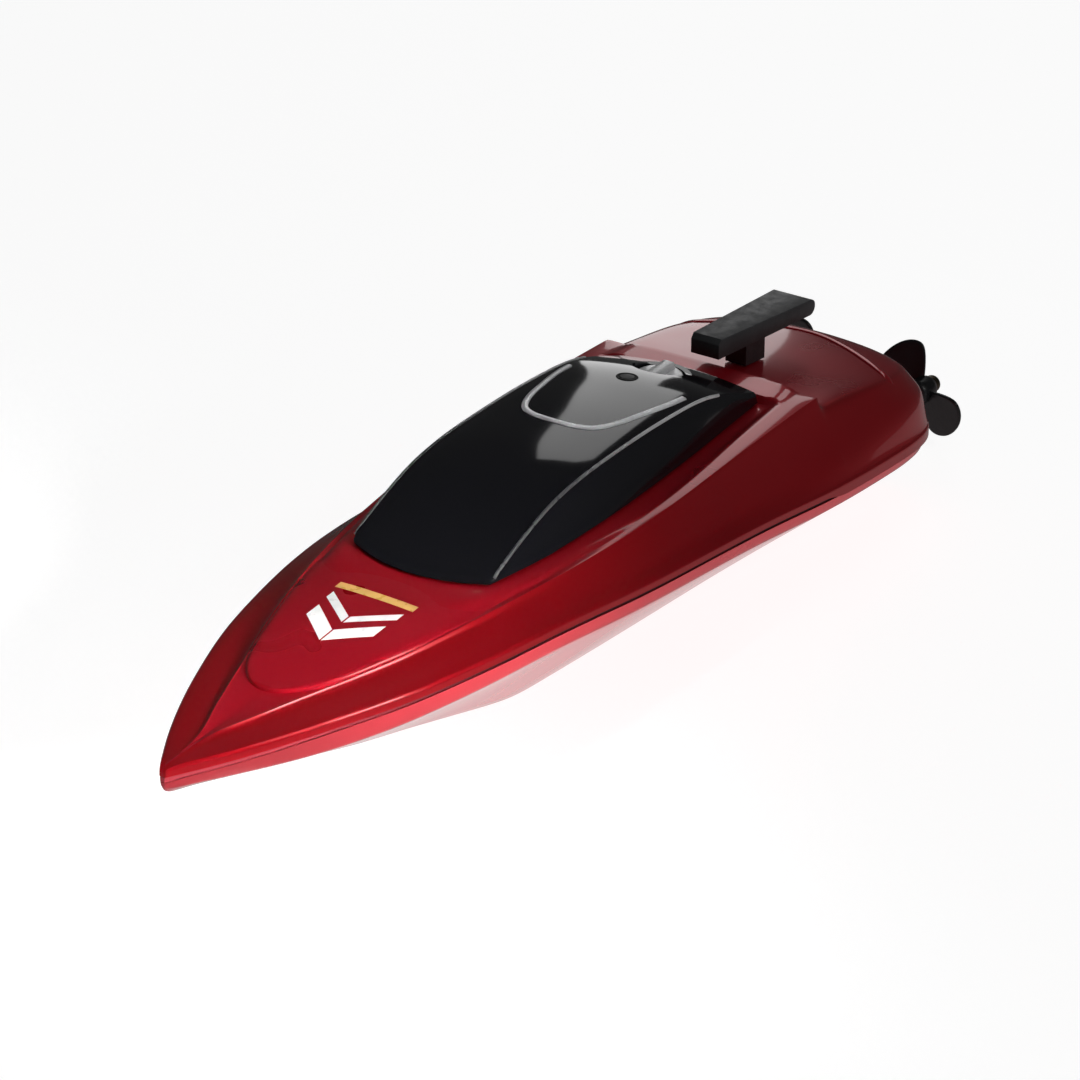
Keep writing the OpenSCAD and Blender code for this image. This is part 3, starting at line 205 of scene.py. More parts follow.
def tangent(points, i):
    """Slope of the smooth curve at a point."""
    if i == 0:
        return slope_of(points, 0)
    if i == len(points) - 1:
        return slope_of(points, i - 1)
    a, b = slope_of(points, i - 1), slope_of(points, i)
    return 0.0 if a * b <= 0 else 2 / (1 / a + 1 / b)


def curve(points, x):
    """Smooth curve through the points that never overshoots them."""
    i = 0
    while i < len(points) - 2 and x >= points[i + 1][0]:
        i += 1
    h = points[i + 1][0] - points[i][0]
    v = min(1.0, max(0.0, (x - points[i][0]) / h))
    w = 1 - v
    return ((1 + 2 * v) * w * w * points[i][1] + v * w * w * h * tangent(points, i)
            + v * v * (3 - 2 * v) * points[i + 1][1] - v * v * w * h * tangent(points, i + 1))


def lookup(rows, x):
    """Straight line through rows that rise in x."""
    if x <= rows[0][0]:
        return rows[0][1]
    for (a, b), (c, d) in zip(rows, rows[1:]):
        if x <= c:
            return d if c - a < 1e-9 else b + (d - b) * (x - a) / (c - a)
    return rows[-1][1]


def ramp(x, a, b):
    """Rises straight from 0 at a to 1 at b."""
    return min(1.0, max(0.0, (x - a) / (b - a)))


def ease(x, a, b):
    """Rises softly from 0 at a to 1 at b."""
    v = ramp(x, a, b)
    return v * v * (3 - 2 * v)


def at(s, y, z):
    """Point in the frame from millimetres measured from the transom."""
    return Vector((STERN_X + s * MM, y * MM, z * MM))


class Lines:
    """Lines of the hull, the deck and the canopy in millimetres from the transom."""

    def __init__(self, sizes):
        self.length = sizes.hull_length / MM
        self.half_beam = sizes.beam / MM / 2
        self.wall = sizes.wall / MM
        self.lip_h = sizes.lip_height / MM
        self.lip_out = sizes.lip_overhang / MM
        self.seam_t = sizes.seam / MM
        self.canopy_w = sizes.canopy_width / MM
        self.roof_w = sizes.roof_width / MM
        self.roof_h = sizes.roof_height / MM

    def share(self, table, s):
        return curve(table, s / self.length)

    def rub_y(self, s):
        return self.half_beam * self.share(RUB_PLAN, s)

    def rub_z(self, s):
        return RUB_STERN_Z + (RUB_PEAK_Z - RUB_STERN_Z) * self.share(SHEER, s)

    def seam_z(self, s):
        return self.rub_z(s) - self.lip_h

    def brim_y(self, s):
        rub = self.rub_y(s)
        return max(self.lip_out / 4, rub - self.lip_out * ramp(rub, 0, 6 * self.lip_out))

    def brim_z(self, s):
        return self.seam_z(s) - self.seam_t

    def keel_z(self, s):
        return STEM_Z * curve(KEEL_RISE, ramp(s, PAD_L, self.length))

    def keel_y(self, s):
        return PAD_W / 2 * self.share(KEEL_TAPER, s)

    def chine_y(self, s):
        return self.brim_y(s) * self.share(CHINE_PLAN, s)

    def chine_z(self, s):
        return self.brim_z(s) - SIDE_H * self.share(CHINE_DROP, s)

    def between(self, s, share):
        return self.rub_z(s) + (HATCH_Z - self.rub_z(s)) * share

    def ridge_fade(self, s):
        return 1 - ramp(s, COAMING_S, COAMING_S + RIDGE_L)

    def ridge(self, s):
        return RIDGE_H * ramp(s, COAMING_S - STEP_L, COAMING_S) * self.ridge_fade(s)

    def shoulder_y(self, s):
        return self.half_beam * self.share(SHOULDER_PLAN, s)

    def shoulder_z(self, s):
        return self.between(s, self.share(SHOULDER_RISE, s)) + self.ridge(s)

    def inner_y(self, s):
        return self.half_beam * self.share(RIDGE_INNER, s)

    def knuckle_y(self, s):
        return self.rub_y(s) - self.half_beam * self.share(KNUCKLE_IN, s)

    def bow_u(self, s):
        return ramp(s, CANOPY_FRONT, self.length)

    def middle_z(self, s):
        aft = self.between(s, self.share(DECK_RISE, s))
        if s <= COAMING_S - STEP_L:
            return aft
        if s <= COAMING_S:
            return aft + (HATCH_Z + COAMING_H - aft) * ramp(s, COAMING_S - STEP_L, COAMING_S)
        if s <= COAMING_FRONT:
            return HATCH_Z + COAMING_H * (1 - ramp(s, COAMING_FRONT - STEP_L, COAMING_FRONT))
        return self.between(s, curve(BOW_RISE, self.bow_u(s)))

    def level(self, s):
        return (ramp(s, COAMING_S - STEP_L, COAMING_S)
                * (1 - ramp(s, CANOPY_FRONT, CANOPY_FRONT + BOW_SOLID)))

    def inner_z(self, s):
        if s < COAMING_S:
            climb = ramp(s, COAMING_S - STEP_L, COAMING_S)
            return max(self.shoulder_z(s), self.middle_z(s) - 1 + climb)
        return self.shoulder_z(s) + (self.middle_z(s) - self.shoulder_z(s)) * 0.3 * self.bow_u(s)

    def ledge_y(self, s):
        return self.inner_y(s) * (0.5 + 0.43 * self.level(s))

    def ledge_z(self, s):
        return self.middle_z(s) - (self.middle_z(s) - self.inner_z(s)) * 0.25 * (1 - self.level(s))

    def hull_half(self, s):
        """Port half of a hull section, from its brim to the keel pad."""
        by, bz, cy, cz = self.brim_y(s), self.brim_z(s), self.chine_y(s), self.chine_z(s)
        ky, kz = self.keel_y(s), self.keel_z(s)
        return [(by, bz), ((by + 2 * cy) / 3 + 0.005 * by, (bz + 2 * cz) / 3), (cy, cz),
                (cy * 0.66 + ky * 0.34, cz * 0.63 + kz * 0.37),
                (cy * 0.33 + ky * 0.67, cz * 0.3 + kz * 0.7), (ky, kz)]

    def deck_half(self, s):
        """Port half of a deck section, from its lip over the shoulder to the ledge."""
        ry, rz, ky, sy = self.rub_y(s), self.rub_z(s), self.knuckle_y(s), self.shoulder_y(s)
        low = self.between(s, self.share(SHOULDER_RISE, s))
        kz = rz + (low - rz) * self.share(KNUCKLE_RISE, s)
        step, fold = self.bow_step(s), ease(s, *FOLD_SPAN)
        near = sy + 0.8 * (ky - sy) / (0.8 + ky - sy)
        edge_y = (ky + (sy - ky) * 0.84) * (1 - fold) + near * fold
        edge = ramp(edge_y, ky, sy)
        lean = LEAN * (sy - self.inner_y(s)) * ramp(s, COAMING_S, COAMING_S + 4)
        lean *= 1 - ramp(s, *LEAN_SPAN)
        closed = (self.seam_t - 0.3) * (1 - ease(s, *LIP_SPAN))
        riser = RISER * RIDGE_H * ease(s, COAMING_S - 18, COAMING_S + 2) * self.ridge_fade(s)
        return [(ry + SEAT, self.seam_z(s) - closed), (ry + SEAT, rz - 0.55),
                (max(ky, ry - 0.4), rz), (ky, kz), ((ky + sy) / 2, (kz + low) / 2),
                (edge_y, kz + (low - kz) * edge + riser), (sy, self.shoulder_z(s) + step),
                (self.inner_y(s), self.inner_z(s) + 0.8 * step + lean),
                (self.ledge_y(s), self.ledge_z(s) + 0.4 * step)]

    def bow_step(self, s):
        """Height of the step at the creases of the foredeck."""
        return STEP_H * ease(s, *STEP_RISE) * (1 - ease(s, *STEP_FALL))

    def canopy_u(self, s):
        return (s - CANOPY_REAR) / (CANOPY_FRONT - CANOPY_REAR)

    def canopy_y(self, s):
        side = self.canopy_w / 2 * curve(CANOPY_PLAN, self.canopy_u(min(s, FRONT_CORNER)))
        if s <= FRONT_CORNER:
            return side
        return side * math.sqrt(max(0.0, (CANOPY_FRONT - s) / FRONT_BOW))

    def crease_y(self, s):
        return min(self.roof_w / 2, self.canopy_y(s) - 0.3)

    def crease_z(self, s):
        return EDGE_Z + self.roof_h * curve(ROOF_RISE, self.canopy_u(s))

    def roof_z(self, s):
        return self.crease_z(s) + ROOF_CROWN * ramp(CANOPY_FRONT - s, 0, FRONT_BOW)

    def canopy_half(self, s):
        """Port half of a canopy section, from its edge over the crease towards the middle."""
        y, c, cz = self.canopy_y(s), self.crease_y(s), self.crease_z(s)
        return [(y, EDGE_Z), ((y + c) / 2 + 0.1, (EDGE_Z + cz) / 2), (c, cz),
                (c * 0.55, cz * 0.3 + self.roof_z(s) * 0.7)]

    def outline(self, d):
        """Plan of the canopy's edge, drawn in by d."""
        side = []
        for k in (0, 0.13, 0.36, 0.6, 0.82, 1):
            s = CANOPY_REAR + (FRONT_CORNER - CANOPY_REAR) * k
            side.append((max(s, CANOPY_REAR + d), self.canopy_y(s) - d))
        tip = side[-1][1]
        side[-1] = (side[-1][0] - d, tip)
        half = side + [(CANOPY_FRONT - d - FRONT_BOW * k * k, tip * k)
                       for k in (0.85, 0.7, 0.55, 0.4, 0.2)]
        return half + [(CANOPY_FRONT - d, 0)] + [(s, -y) for s, y in reversed(half)]

    def stations(self):
        """Places of the sections, closer together where the deck turns or steps."""
        aft = [COAMING_S * k for k in (0, 0.015, 0.04, 0.075, 0.11, 0.16, 0.22, 0.31, 0.41, 0.52,
                                       0.63, 0.74, 0.83, 0.91)]
        step = [COAMING_S - STEP_L, COAMING_S, COAMING_S + LEDGE_W,
                COAMING_FRONT - STEP_L, COAMING_FRONT]
        rear = CANOPY_REAR + LEDGE_W
        hatch = [rear + (CANOPY_FRONT - CANOPY_REAR - LEDGE_W) * k / 12 for k in range(13)]
        bow = [CANOPY_FRONT + (self.length - CANOPY_FRONT) * k / 16 for k in range(1, 17)]
        return aft + step + hatch + bow

    def hollow_s(self, s):
        """Place of the inner section that belongs to an outer one."""
        return self.wall + s * (self.length - BOW_SOLID - self.wall) / self.length


def hollow(half, middle, depth, up):
    """Inner line of a half section whose wall is depth thick."""
    rows = [(0.0, middle)] + half[::-1]
    draw = (half[0][0] - depth) / half[0][0]
    edge = half[0][1]
    inner = []
    for i, (y, _) in enumerate(half):
        y *= draw
        slope = lookup(rows, y + 0.5) - lookup(rows, max(0.0, y - 0.5))
        z = lookup(rows, y) + up * depth * min(SLOPE_GAIN, math.hypot(1, slope))
        if i == 0:
            z = edge
        else:
            z = min(z, edge - 0.3) if up > 0 else max(z, edge + 0.3)
        inner.append((y, z))
    return inner


def ring(s, half, middle):
    """Section from the port edge over the middle to the starboard edge."""
    return ([at(s, y, z) for y, z in half] + [at(s, 0, middle)]
            + [at(s, -y, z) for y, z in reversed(half)])


def loft(rows, crease=None, paint=None):
    """Grid of quads through rows of points, marked by crease(i, j, lengthwise) and paint(i, j)."""
    bm = bmesh.new()
    m, n = len(rows), len(rows[0])
    bmesh.ops.create_grid(bm, x_segments=n - 1, y_segments=m - 1, size=0.5)
    layer = bm.edges.layers.float.new("crease_edge")
    cell = {v: (round((v.co.y + 0.5) * (m - 1)), round((v.co.x + 0.5) * (n - 1))) for v in bm.verts}
    for e in bm.edges:
        (i, j), (k, l) = (cell[v] for v in e.verts)
        if crease:
            e[layer] = crease(min(i, k), min(j, l), j == l)
    for f in bm.faces:
        if paint:
            f.material_index = paint(*(min(cell[v][k] for v in f.verts) for k in (0, 1)))
    for v in bm.verts:
        v.co = rows[cell[v][0]][cell[v][1]]
    bmesh.ops.remove_doubles(bm, verts=bm.verts, dist=2e-6)
    bmesh.ops.recalc_face_normals(bm, faces=bm.faces)
    return bm


def shell(outer, inner, crease, paint=None):
    """Closed shell between outer and inner rings on one level edge; crease is for the port half."""
    n = len(outer[0])

    def sill(row):
        return [Vector((p.x, p.y, row[0].z)) for p in row]

    ends = []
    for k in (0, -1):
        out, inn = sill(outer[k]), sill(inner[k])
        middle = [(a + b) / 2 for a, b in zip(out, inn)]
        ends.append([middle + middle[::-1], out + inn[::-1]])
    rows = ends[0] + [a + b[::-1] for a, b in zip(outer, inner)] + ends[1][::-1]
    last = len(rows) - 1

    def sharp(i, j, lengthwise):
        if lengthwise and j in (0, n - 1, n, 2 * n - 1, 2 * n):
            return 1.0
        if not lengthwise and i in (1, last - 1):
            return 1.0
        if j > n - 1 or i < 2 or i > last - 2:
            return 0.0
        column = min(j, n - 1 - j) if lengthwise else min(j, n - 2 - j)
        return crease(i - 2, column, lengthwise)

    return loft([r + r[:1] for r in rows], sharp, paint)


def bake(ob):
    """Puts the modifiers' result in the object's own mesh."""
    deps = bpy.context.evaluated_depsgraph_get()
    mesh = bpy.data.meshes.new_from_object(ob.evaluated_get(deps))
    ob.modifiers.clear()
    old, ob.data = ob.data, mesh
    mesh.name = ob.name
    bpy.data.meshes.remove(old)


@contextmanager
def reshaped(mesh):
    """Opens a mesh as a bmesh and writes it back."""
    bm = bmesh.new()
    bm.from_mesh(mesh)
    yield bm
    bm.to_mesh(mesh)
    bm.free()


def sharp_edge(e, angle):
    """True for an edge whose two faces meet past an angle in degrees."""
    return len(e.link_faces) == 2 and e.calc_face_angle(0.0) > math.radians(angle)


def soften(mesh, angle):
    """Smooth shading with hard edges past an angle in degrees."""
    with reshaped(mesh) as bm:
        for f in bm.faces:
            f.smooth = True
        for e in bm.edges:
            e.smooth = not sharp_edge(e, angle)


def linked(name, data):
    """New object in the scene, at the origin."""
    ob = bpy.data.objects.new(name, data)
    bpy.context.scene.collection.objects.link(ob)
    return ob


def thing(bm, name, materials):
    """New object from a bmesh."""
    mesh = bpy.data.meshes.new(name)
    bm.to_mesh(mesh)
    bm.free()
    for m in materials:
        mesh.materials.append(m)
    return linked(name, mesh)


def place(ob, body, nodes=(), angle=38.0):
    """Shades a finished piece and hangs it on its body."""
    soften(ob.data, angle)
    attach(ob, body)
    if nodes:
        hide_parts(*nodes)
    return ob


def rounded(ob, levels):
    """Rounds a piece by subdivision, apart from its creased edges."""
    mod = ob.modifiers.new("rounding", "SUBSURF")
    mod.levels = mod.render_levels = levels
    mod.boundary_smooth = "PRESERVE_CORNERS"
    bake(ob)


def thicken(ob, depth):
    """Gives a sheet a thickness below its faces."""
    mod = ob.modifiers.new("thickness", "SOLIDIFY")
    mod.thickness, mod.offset = depth, -1.0
    bake(ob)


def cut(ob, tool):
    """Takes the tool's shape out of the object and removes the tool."""
    mod = ob.modifiers.new("cut", "BOOLEAN")
    mod.operation, mod.solver, mod.object = "DIFFERENCE", "EXACT", tool
    bake(ob)
    mesh = tool.data
    bpy.data.objects.remove(tool)
    bpy.data.meshes.remove(mesh)


def bevelled(bm, width, angle=25.0, segments=2):
    """Rounds the edges that are sharper than an angle."""
    edges = [e for e in bm.edges if sharp_edge(e, angle)]
    bmesh.ops.bevel(bm, geom=edges, offset=width, offset_type="OFFSET", segments=segments,
                    profile=0.5, affect="EDGES", clamp_overlap=True, material=-1)


def prism(points, lift):
    """Flat outline of points pushed along a vector into a solid."""
    bm = bmesh.new()
    verts = [bm.verts.new(p) for p in points]
    edges = [bm.edges.new(pair) for pair in zip(verts, verts[1:] + verts[:1])]
    face = bmesh.ops.edgeloop_fill(bm, edges=edges)["faces"][0]
    grown = bmesh.ops.extrude_face_region(bm, geom=[face])["geom"]
    far = [g for g in grown if isinstance(g, bmesh.types.BMVert)]
    bmesh.ops.translate(bm, vec=lift, verts=far)
    bmesh.ops.recalc_face_normals(bm, faces=bm.faces)
    return bm


def turned(profile, where, steps=48):
    """Closed profile of (along, radius) millimetres spun round the X axis of a frame."""
    bm = bmesh.new()
    verts = [bm.verts.new((a * MM, r * MM, 0.0)) for a, r in profile]
    edges = [bm.edges.new(pair) for pair in zip(verts, verts[1:])]
    bmesh.ops.spin(bm, geom=verts + edges, cent=(0, 0, 0), axis=(1, 0, 0), angle=2 * math.pi,
                   steps=steps, use_merge=True)
    bmesh.ops.remove_doubles(bm, verts=bm.verts, dist=1e-6)
    bmesh.ops.recalc_face_normals(bm, faces=bm.faces)
    bm.transform(where)
    return bm


def round_pin(radius, angle):
    """Place and height of a point round the hinge pin, at an angle in degrees."""
    a = math.radians(angle)
    return HINGE_S + radius * math.cos(a), HINGE_Z + radius * math.sin(a)


def upright(s, z, lean=0.0):
    """Frame on the middle line whose X axis points up, leant by an angle."""
    return Matrix.Translation(at(s, 0, z)) @ Matrix.Rotation(-math.pi / 2 - lean, 4, "Y")


def smooth_route(points, steps):
    """Points along a smooth line through the given ones."""
    pts = [Vector(p) for p in points]
    pts = [2 * pts[0] - pts[1]] + pts + [2 * pts[-1] - pts[-2]]
    out = []
    for a, b, c, d in zip(pts, pts[1:], pts[2:], pts[3:]):
        for k in range(steps):
            t = k / steps
            out.append(0.5 * ((2 * b) + (c - a) * t + (2 * a - 5 * b + 4 * c - d) * t * t
                              + (3 * b - a - 3 * c + d) * t ** 3))
    out.append(pts[-2])
    return out


def piped(name, points, radius, materials, sides):
    """Round tube along points, as a mesh object."""
    data = bpy.data.curves.new(name + "_line", "CURVE")
    data.dimensions, data.bevel_depth, data.bevel_resolution = "3D", radius, sides
    data.use_fill_caps = True
    spline = data.splines.new("POLY")
    spline.points.add(len(points) - 1)
    for p, q in zip(spline.points, points):
        p.co = (*q, 1.0)
    line = linked(name + "_line", data)
    deps = bpy.context.evaluated_depsgraph_get()
    mesh = bpy.data.meshes.new_from_object(line.evaluated_get(deps))
    mesh.name = name
    bpy.data.objects.remove(line)
    bpy.data.curves.remove(data)
    mesh.materials.clear()
    for m in materials:
        mesh.materials.append(m)
    return linked(name, mesh)


def refined(node, material, slot, width=0.00015, angle=30.0):
    """Merged copy of a CAD node with its edges broken and its round faces shaded smooth."""
    source = frame["nodes"][node]
    bm = bmesh.new()
    bm.from_mesh(source.data)
    bmesh.ops.remove_doubles(bm, verts=bm.verts, dist=2e-6)
    bmesh.ops.dissolve_limit(bm, angle_limit=math.radians(0.5), verts=bm.verts, edges=bm.edges)
    if width:
        bevelled(bm, width, angle)
    for f in bm.faces:
        f.material_index = 0
    ob = thing(bm, node + "_piece", [material])
    bodies = frame["record"]["behaviour"]["bodies"]
    body = next(b for b, nodes in bodies.items() if node in nodes)
    return place(ob, body, (node,), angle)


def surface(*obs):
    """Looks straight down on finished pieces: gives the height under a point, in millimetres."""
    trees = []
    for ob in obs:
        bm = bmesh.new()
        bm.from_mesh(ob.data)
        trees.append(BVHTree.FromBMesh(bm))
        bm.free()

    def height(s, y):
        best = None
        for tree in trees:
            hit = tree.ray_cast(at(s, y, 90.0), Vector((0, 0, -1)))[0]
            if hit and (best is None or hit.z > best):
                best = hit.z
        return (best if best is not None else 0.0) / MM
    return height


def beading(name, path, profile, under, material):
    """Low strip on a skin: a path of (s, y, height share) and a profile of (across, lift)."""
    rows = []
    for i, (s, y, share) in enumerate(path):
        (a, b, _), (c, d, _) = path[max(0, i - 1)], path[min(len(path) - 1, i + 1)]
        side = Vector((b - d, c - a)).normalized()
        row = []
        for across, lift in profile:
            q = (s + side.x * across, y + side.y * across)
            row.append(at(*q, under(*q) + lift * share))
        rows.append(row)
    ob = upward(thing(loft(rows), name, [material]))
    thicken(ob, 0.0005)
    return ob


def upward(ob):
    """Turns a sheet's faces to the sky."""
    with reshaped(ob.data) as bm:
        if sum(f.normal.z for f in bm.faces) < 0:
            bmesh.ops.reverse_faces(bm, faces=bm.faces)
    return ob


def add(tree, kind, inputs=None, **settings):
    """New shader node with its settings and inputs."""
    n = tree.nodes.new("ShaderNode" + kind)
    for key, value in settings.items():
        setattr(n, key, value)
    for key, value in (inputs or {}).items():
        if isinstance(value, bpy.types.NodeSocket):
            tree.links.new(value, n.inputs[key])
        else:
            n.inputs[key].default_value = value
    return n


def finish(name, **sockets):
    """New material: gives it, its node tree, its shader and the place on the piece."""
    m = bpy.data.materials.new(name)
    m.use_nodes = True
    tree = m.node_tree
    tree.nodes.clear()
    out = add(tree, "OutputMaterial")
    b = add(tree, "BsdfPrincipled", sockets)
    tree.links.new(b.outputs["BSDF"], out.inputs["Surface"])
    where = add(tree, "TexCoord").outputs["Object"]
    return m, tree, b, where


def tone(tree, b, factor, low, high, start=0.3, end=0.7):
    """Base colour that runs from one colour to another with a factor."""
    ramp_node = add(tree, "ValToRGB", {"Fac": factor})
    stops = ramp_node.color_ramp.elements
    stops[0].position, stops[0].color = start, low
    stops[1].position, stops[1].color = end, high
    tree.links.new(ramp_node.outputs["Color"], b.inputs["Base Color"])


def spread(tree, b, socket, factor, low, high):
    """Shader value that varies between two numbers with a factor."""
    r = add(tree, "MapRange", {"Value": factor, "From Min": 0.3, "From Max": 0.7,
                               "To Min": low, "To Max": high})
    tree.links.new(r.outputs["Result"], b.inputs[socket])


def relief(tree, b, height, strength, depth):
    """Fine relief in the shading, for grain too small to model."""
    bump = add(tree, "Bump", {"Height": height, "Strength": strength, "Distance": depth})
    tree.links.new(bump.outputs["Normal"], b.inputs["Normal"])


def noise(tree, where, scale, detail=2.0, stretch=None):
    """Cloudy pattern from 0 to 1, drawn out along the axes of a stretch."""
    if stretch:
        where = add(tree, "Mapping", {"Vector": where, "Scale": stretch}).outputs["Vector"]
    return add(tree, "TexNoise", {"Vector": where, "Scale": scale, "Detail": detail}).outputs["Fac"]


def wave(tree, where, scale, distortion, way):
    """Bands from 0 to 1 across one axis."""
    return add(tree, "TexWave", {"Vector": where, "Scale": scale, "Distortion": distortion},
               bands_direction=way).outputs["Fac"]


def cells(tree, where, scale):
    """Small cells, 0 in the middle of each."""
    return add(tree, "TexVoronoi", {"Vector": where, "Scale": scale}).outputs["Distance"]


def shade(c, k):
    """Colour made darker or lighter."""
    return (c[0] * k, c[1] * k, c[2] * k, 1.0)


def lengthwise(tree, b, where, aft, fore, colour_fore):
    """Blends the shader's base colour into another one between two places along the boat."""
    colour_aft = b.inputs["Base Color"].links[0].from_socket
    x = add(tree, "SeparateXYZ", {"Vector": where}).outputs["X"]
    share = add(tree, "MapRange", {"Value": x, "From Min": aft, "From Max": fore}).outputs["Result"]
    mix = add(tree, "Mix", {0: share, 6: colour_aft, 7: colour_fore}, data_type="RGBA")
    tree.links.new(mix.outputs[2], b.inputs["Base Color"])


def gloss_paint(name, c, deep=0.93, rough=0.22, coat=1.0, metallic=0.0, blend=None):
    """Candy paint: faint clouding, fine flake, a clear coat and a trace of orange peel."""
    m, t, b, where = finish(name, **{"Coat Weight": coat, "Coat Roughness": 0.06, "Coat IOR": 1.5,
                                     "Specular IOR Level": 0.1, "Metallic": metallic})
    cloud = noise(t, where, 45.0)
    flake = cells(t, where, 3200.0)
    both = add(t, "Math", {0: cloud, 1: flake}, operation="ADD").outputs["Value"]
    tone(t, b, both, shade(c, deep), shade(c, 1.05), 0.3, 1.4)
    spread(t, b, "Roughness", cloud, rough - 0.01, rough + 0.02)
    relief(t, b, noise(t, where, 900.0, 1.0), 0.012, 0.0002)
    if blend:
        lengthwise(t, b, where, *blend)
    return m


def moulded(name, c, rough=0.5, grain=2200.0, depth=0.12, deep=0.75, coat=0.0, blend=None):
    """Moulded plastic with a fine grain and slightly uneven gloss."""
    m, t, b, where = finish(name, **{"Coat Weight": coat, "Coat Roughness": 0.08})
    cloud = noise(t, where, 120.0)
    tone(t, b, cloud, shade(c, deep), shade(c, 1.2))
    spread(t, b, "Roughness", noise(t, where, 400.0), rough - 0.06, rough + 0.08)
    relief(t, b, noise(t, where, grain, 1.0), depth, 0.0002)
    if blend:
        lengthwise(t, b, where, *blend)
    return m


def patterned(m, t, b, factor, colours, rough, bump):
    """Lets one pattern set a finish's colour, gloss and relief."""
    tone(t, b, factor, *colours)
    spread(t, b, "Roughness", factor, *rough)
    relief(t, b, factor, *bump)
    return m


def metal(name, c, rough=0.25):
    """Metal with drawn lines along the boat."""
    m, t, b, where = finish(name, **{"Metallic": 1.0})
    lines = noise(t, where, 160.0, 3.0, (1.0, 40.0, 40.0))
    return patterned(m, t, b, lines, (shade(c, 0.8), shade(c, 1.1)),
                     (rough - 0.06, rough + 0.12), (0.06, 0.0002))


def woven(name, c):
    """Webbing with crossing threads."""
    m, t, b, where = finish(name, **{"Sheen Weight": 0.3, "Sheen Roughness": 0.4})
    warp, weft = (wave(t, where, 1400.0, 0.4, way) for way in "XY")
    both = add(t, "Math", {0: warp, 1: weft}, operation="MULTIPLY").outputs["Value"]
    return patterned(m, t, b, both, (shade(c, 0.6), shade(c, 1.6), 0.1, 0.8),
                     (0.75, 0.9), (0.5, 0.0003))


def foam(name, c):
    """Open-celled foam."""
    m, t, b, where = finish(name)
    return patterned(m, t, b, cells(t, where, 1500.0), (shade(c, 1.1), shade(c, 0.65), 0.1, 0.6),
                     (0.8, 0.95), (0.6, 0.0004))


def board(name, c):
    """Lacquered circuit board with copper tracks under the lacquer."""
    m, t, b, where = finish(name, **{"Coat Weight": 0.4, "Coat Roughness": 0.15})
    ground, line = (0, 0, 0, 1), (1, 1, 1, 1)
    bricks = add(t, "TexBrick", {"Vector": where, "Scale": 520.0, "Mortar Size": 0.05,
                                 "Color1": ground, "Color2": ground, "Mortar": line})
    copper = (c[0] * 2.5, c[1] * 1.5, c[2] * 1.2, 1.0)
    return patterned(m, t, b, bricks.outputs["Color"], (shade(c, 1.0), copper, 0.2, 0.8),
                     (0.45, 0.3), (0.15, 0.0002))


def windings(name, c):
    """Turns of lacquered copper wire."""
    m, t, b, where = finish(name, **{"Metallic": 0.6})
    turns = wave(t, where, 900.0, 0.6, "X")
    return patterned(m, t, b, turns, (shade(c, 0.45), shade(c, 1.25), 0.2, 0.8),
                     (0.55, 0.35), (0.5, 0.0003))


def film(name, c):
    """Shrink film with soft creases along the pack."""
    m, t, b, where = finish(name, **{"Coat Weight": 0.7, "Coat Roughness": 0.12})
    creases = noise(t, where, 90.0, 3.0, (1.0, 5.0, 5.0))
    return patterned(m, t, b, creases, (shade(c, 0.75), shade(c, 1.25)),
                     (0.25, 0.4), (0.25, 0.0008))


FINISHES = {}


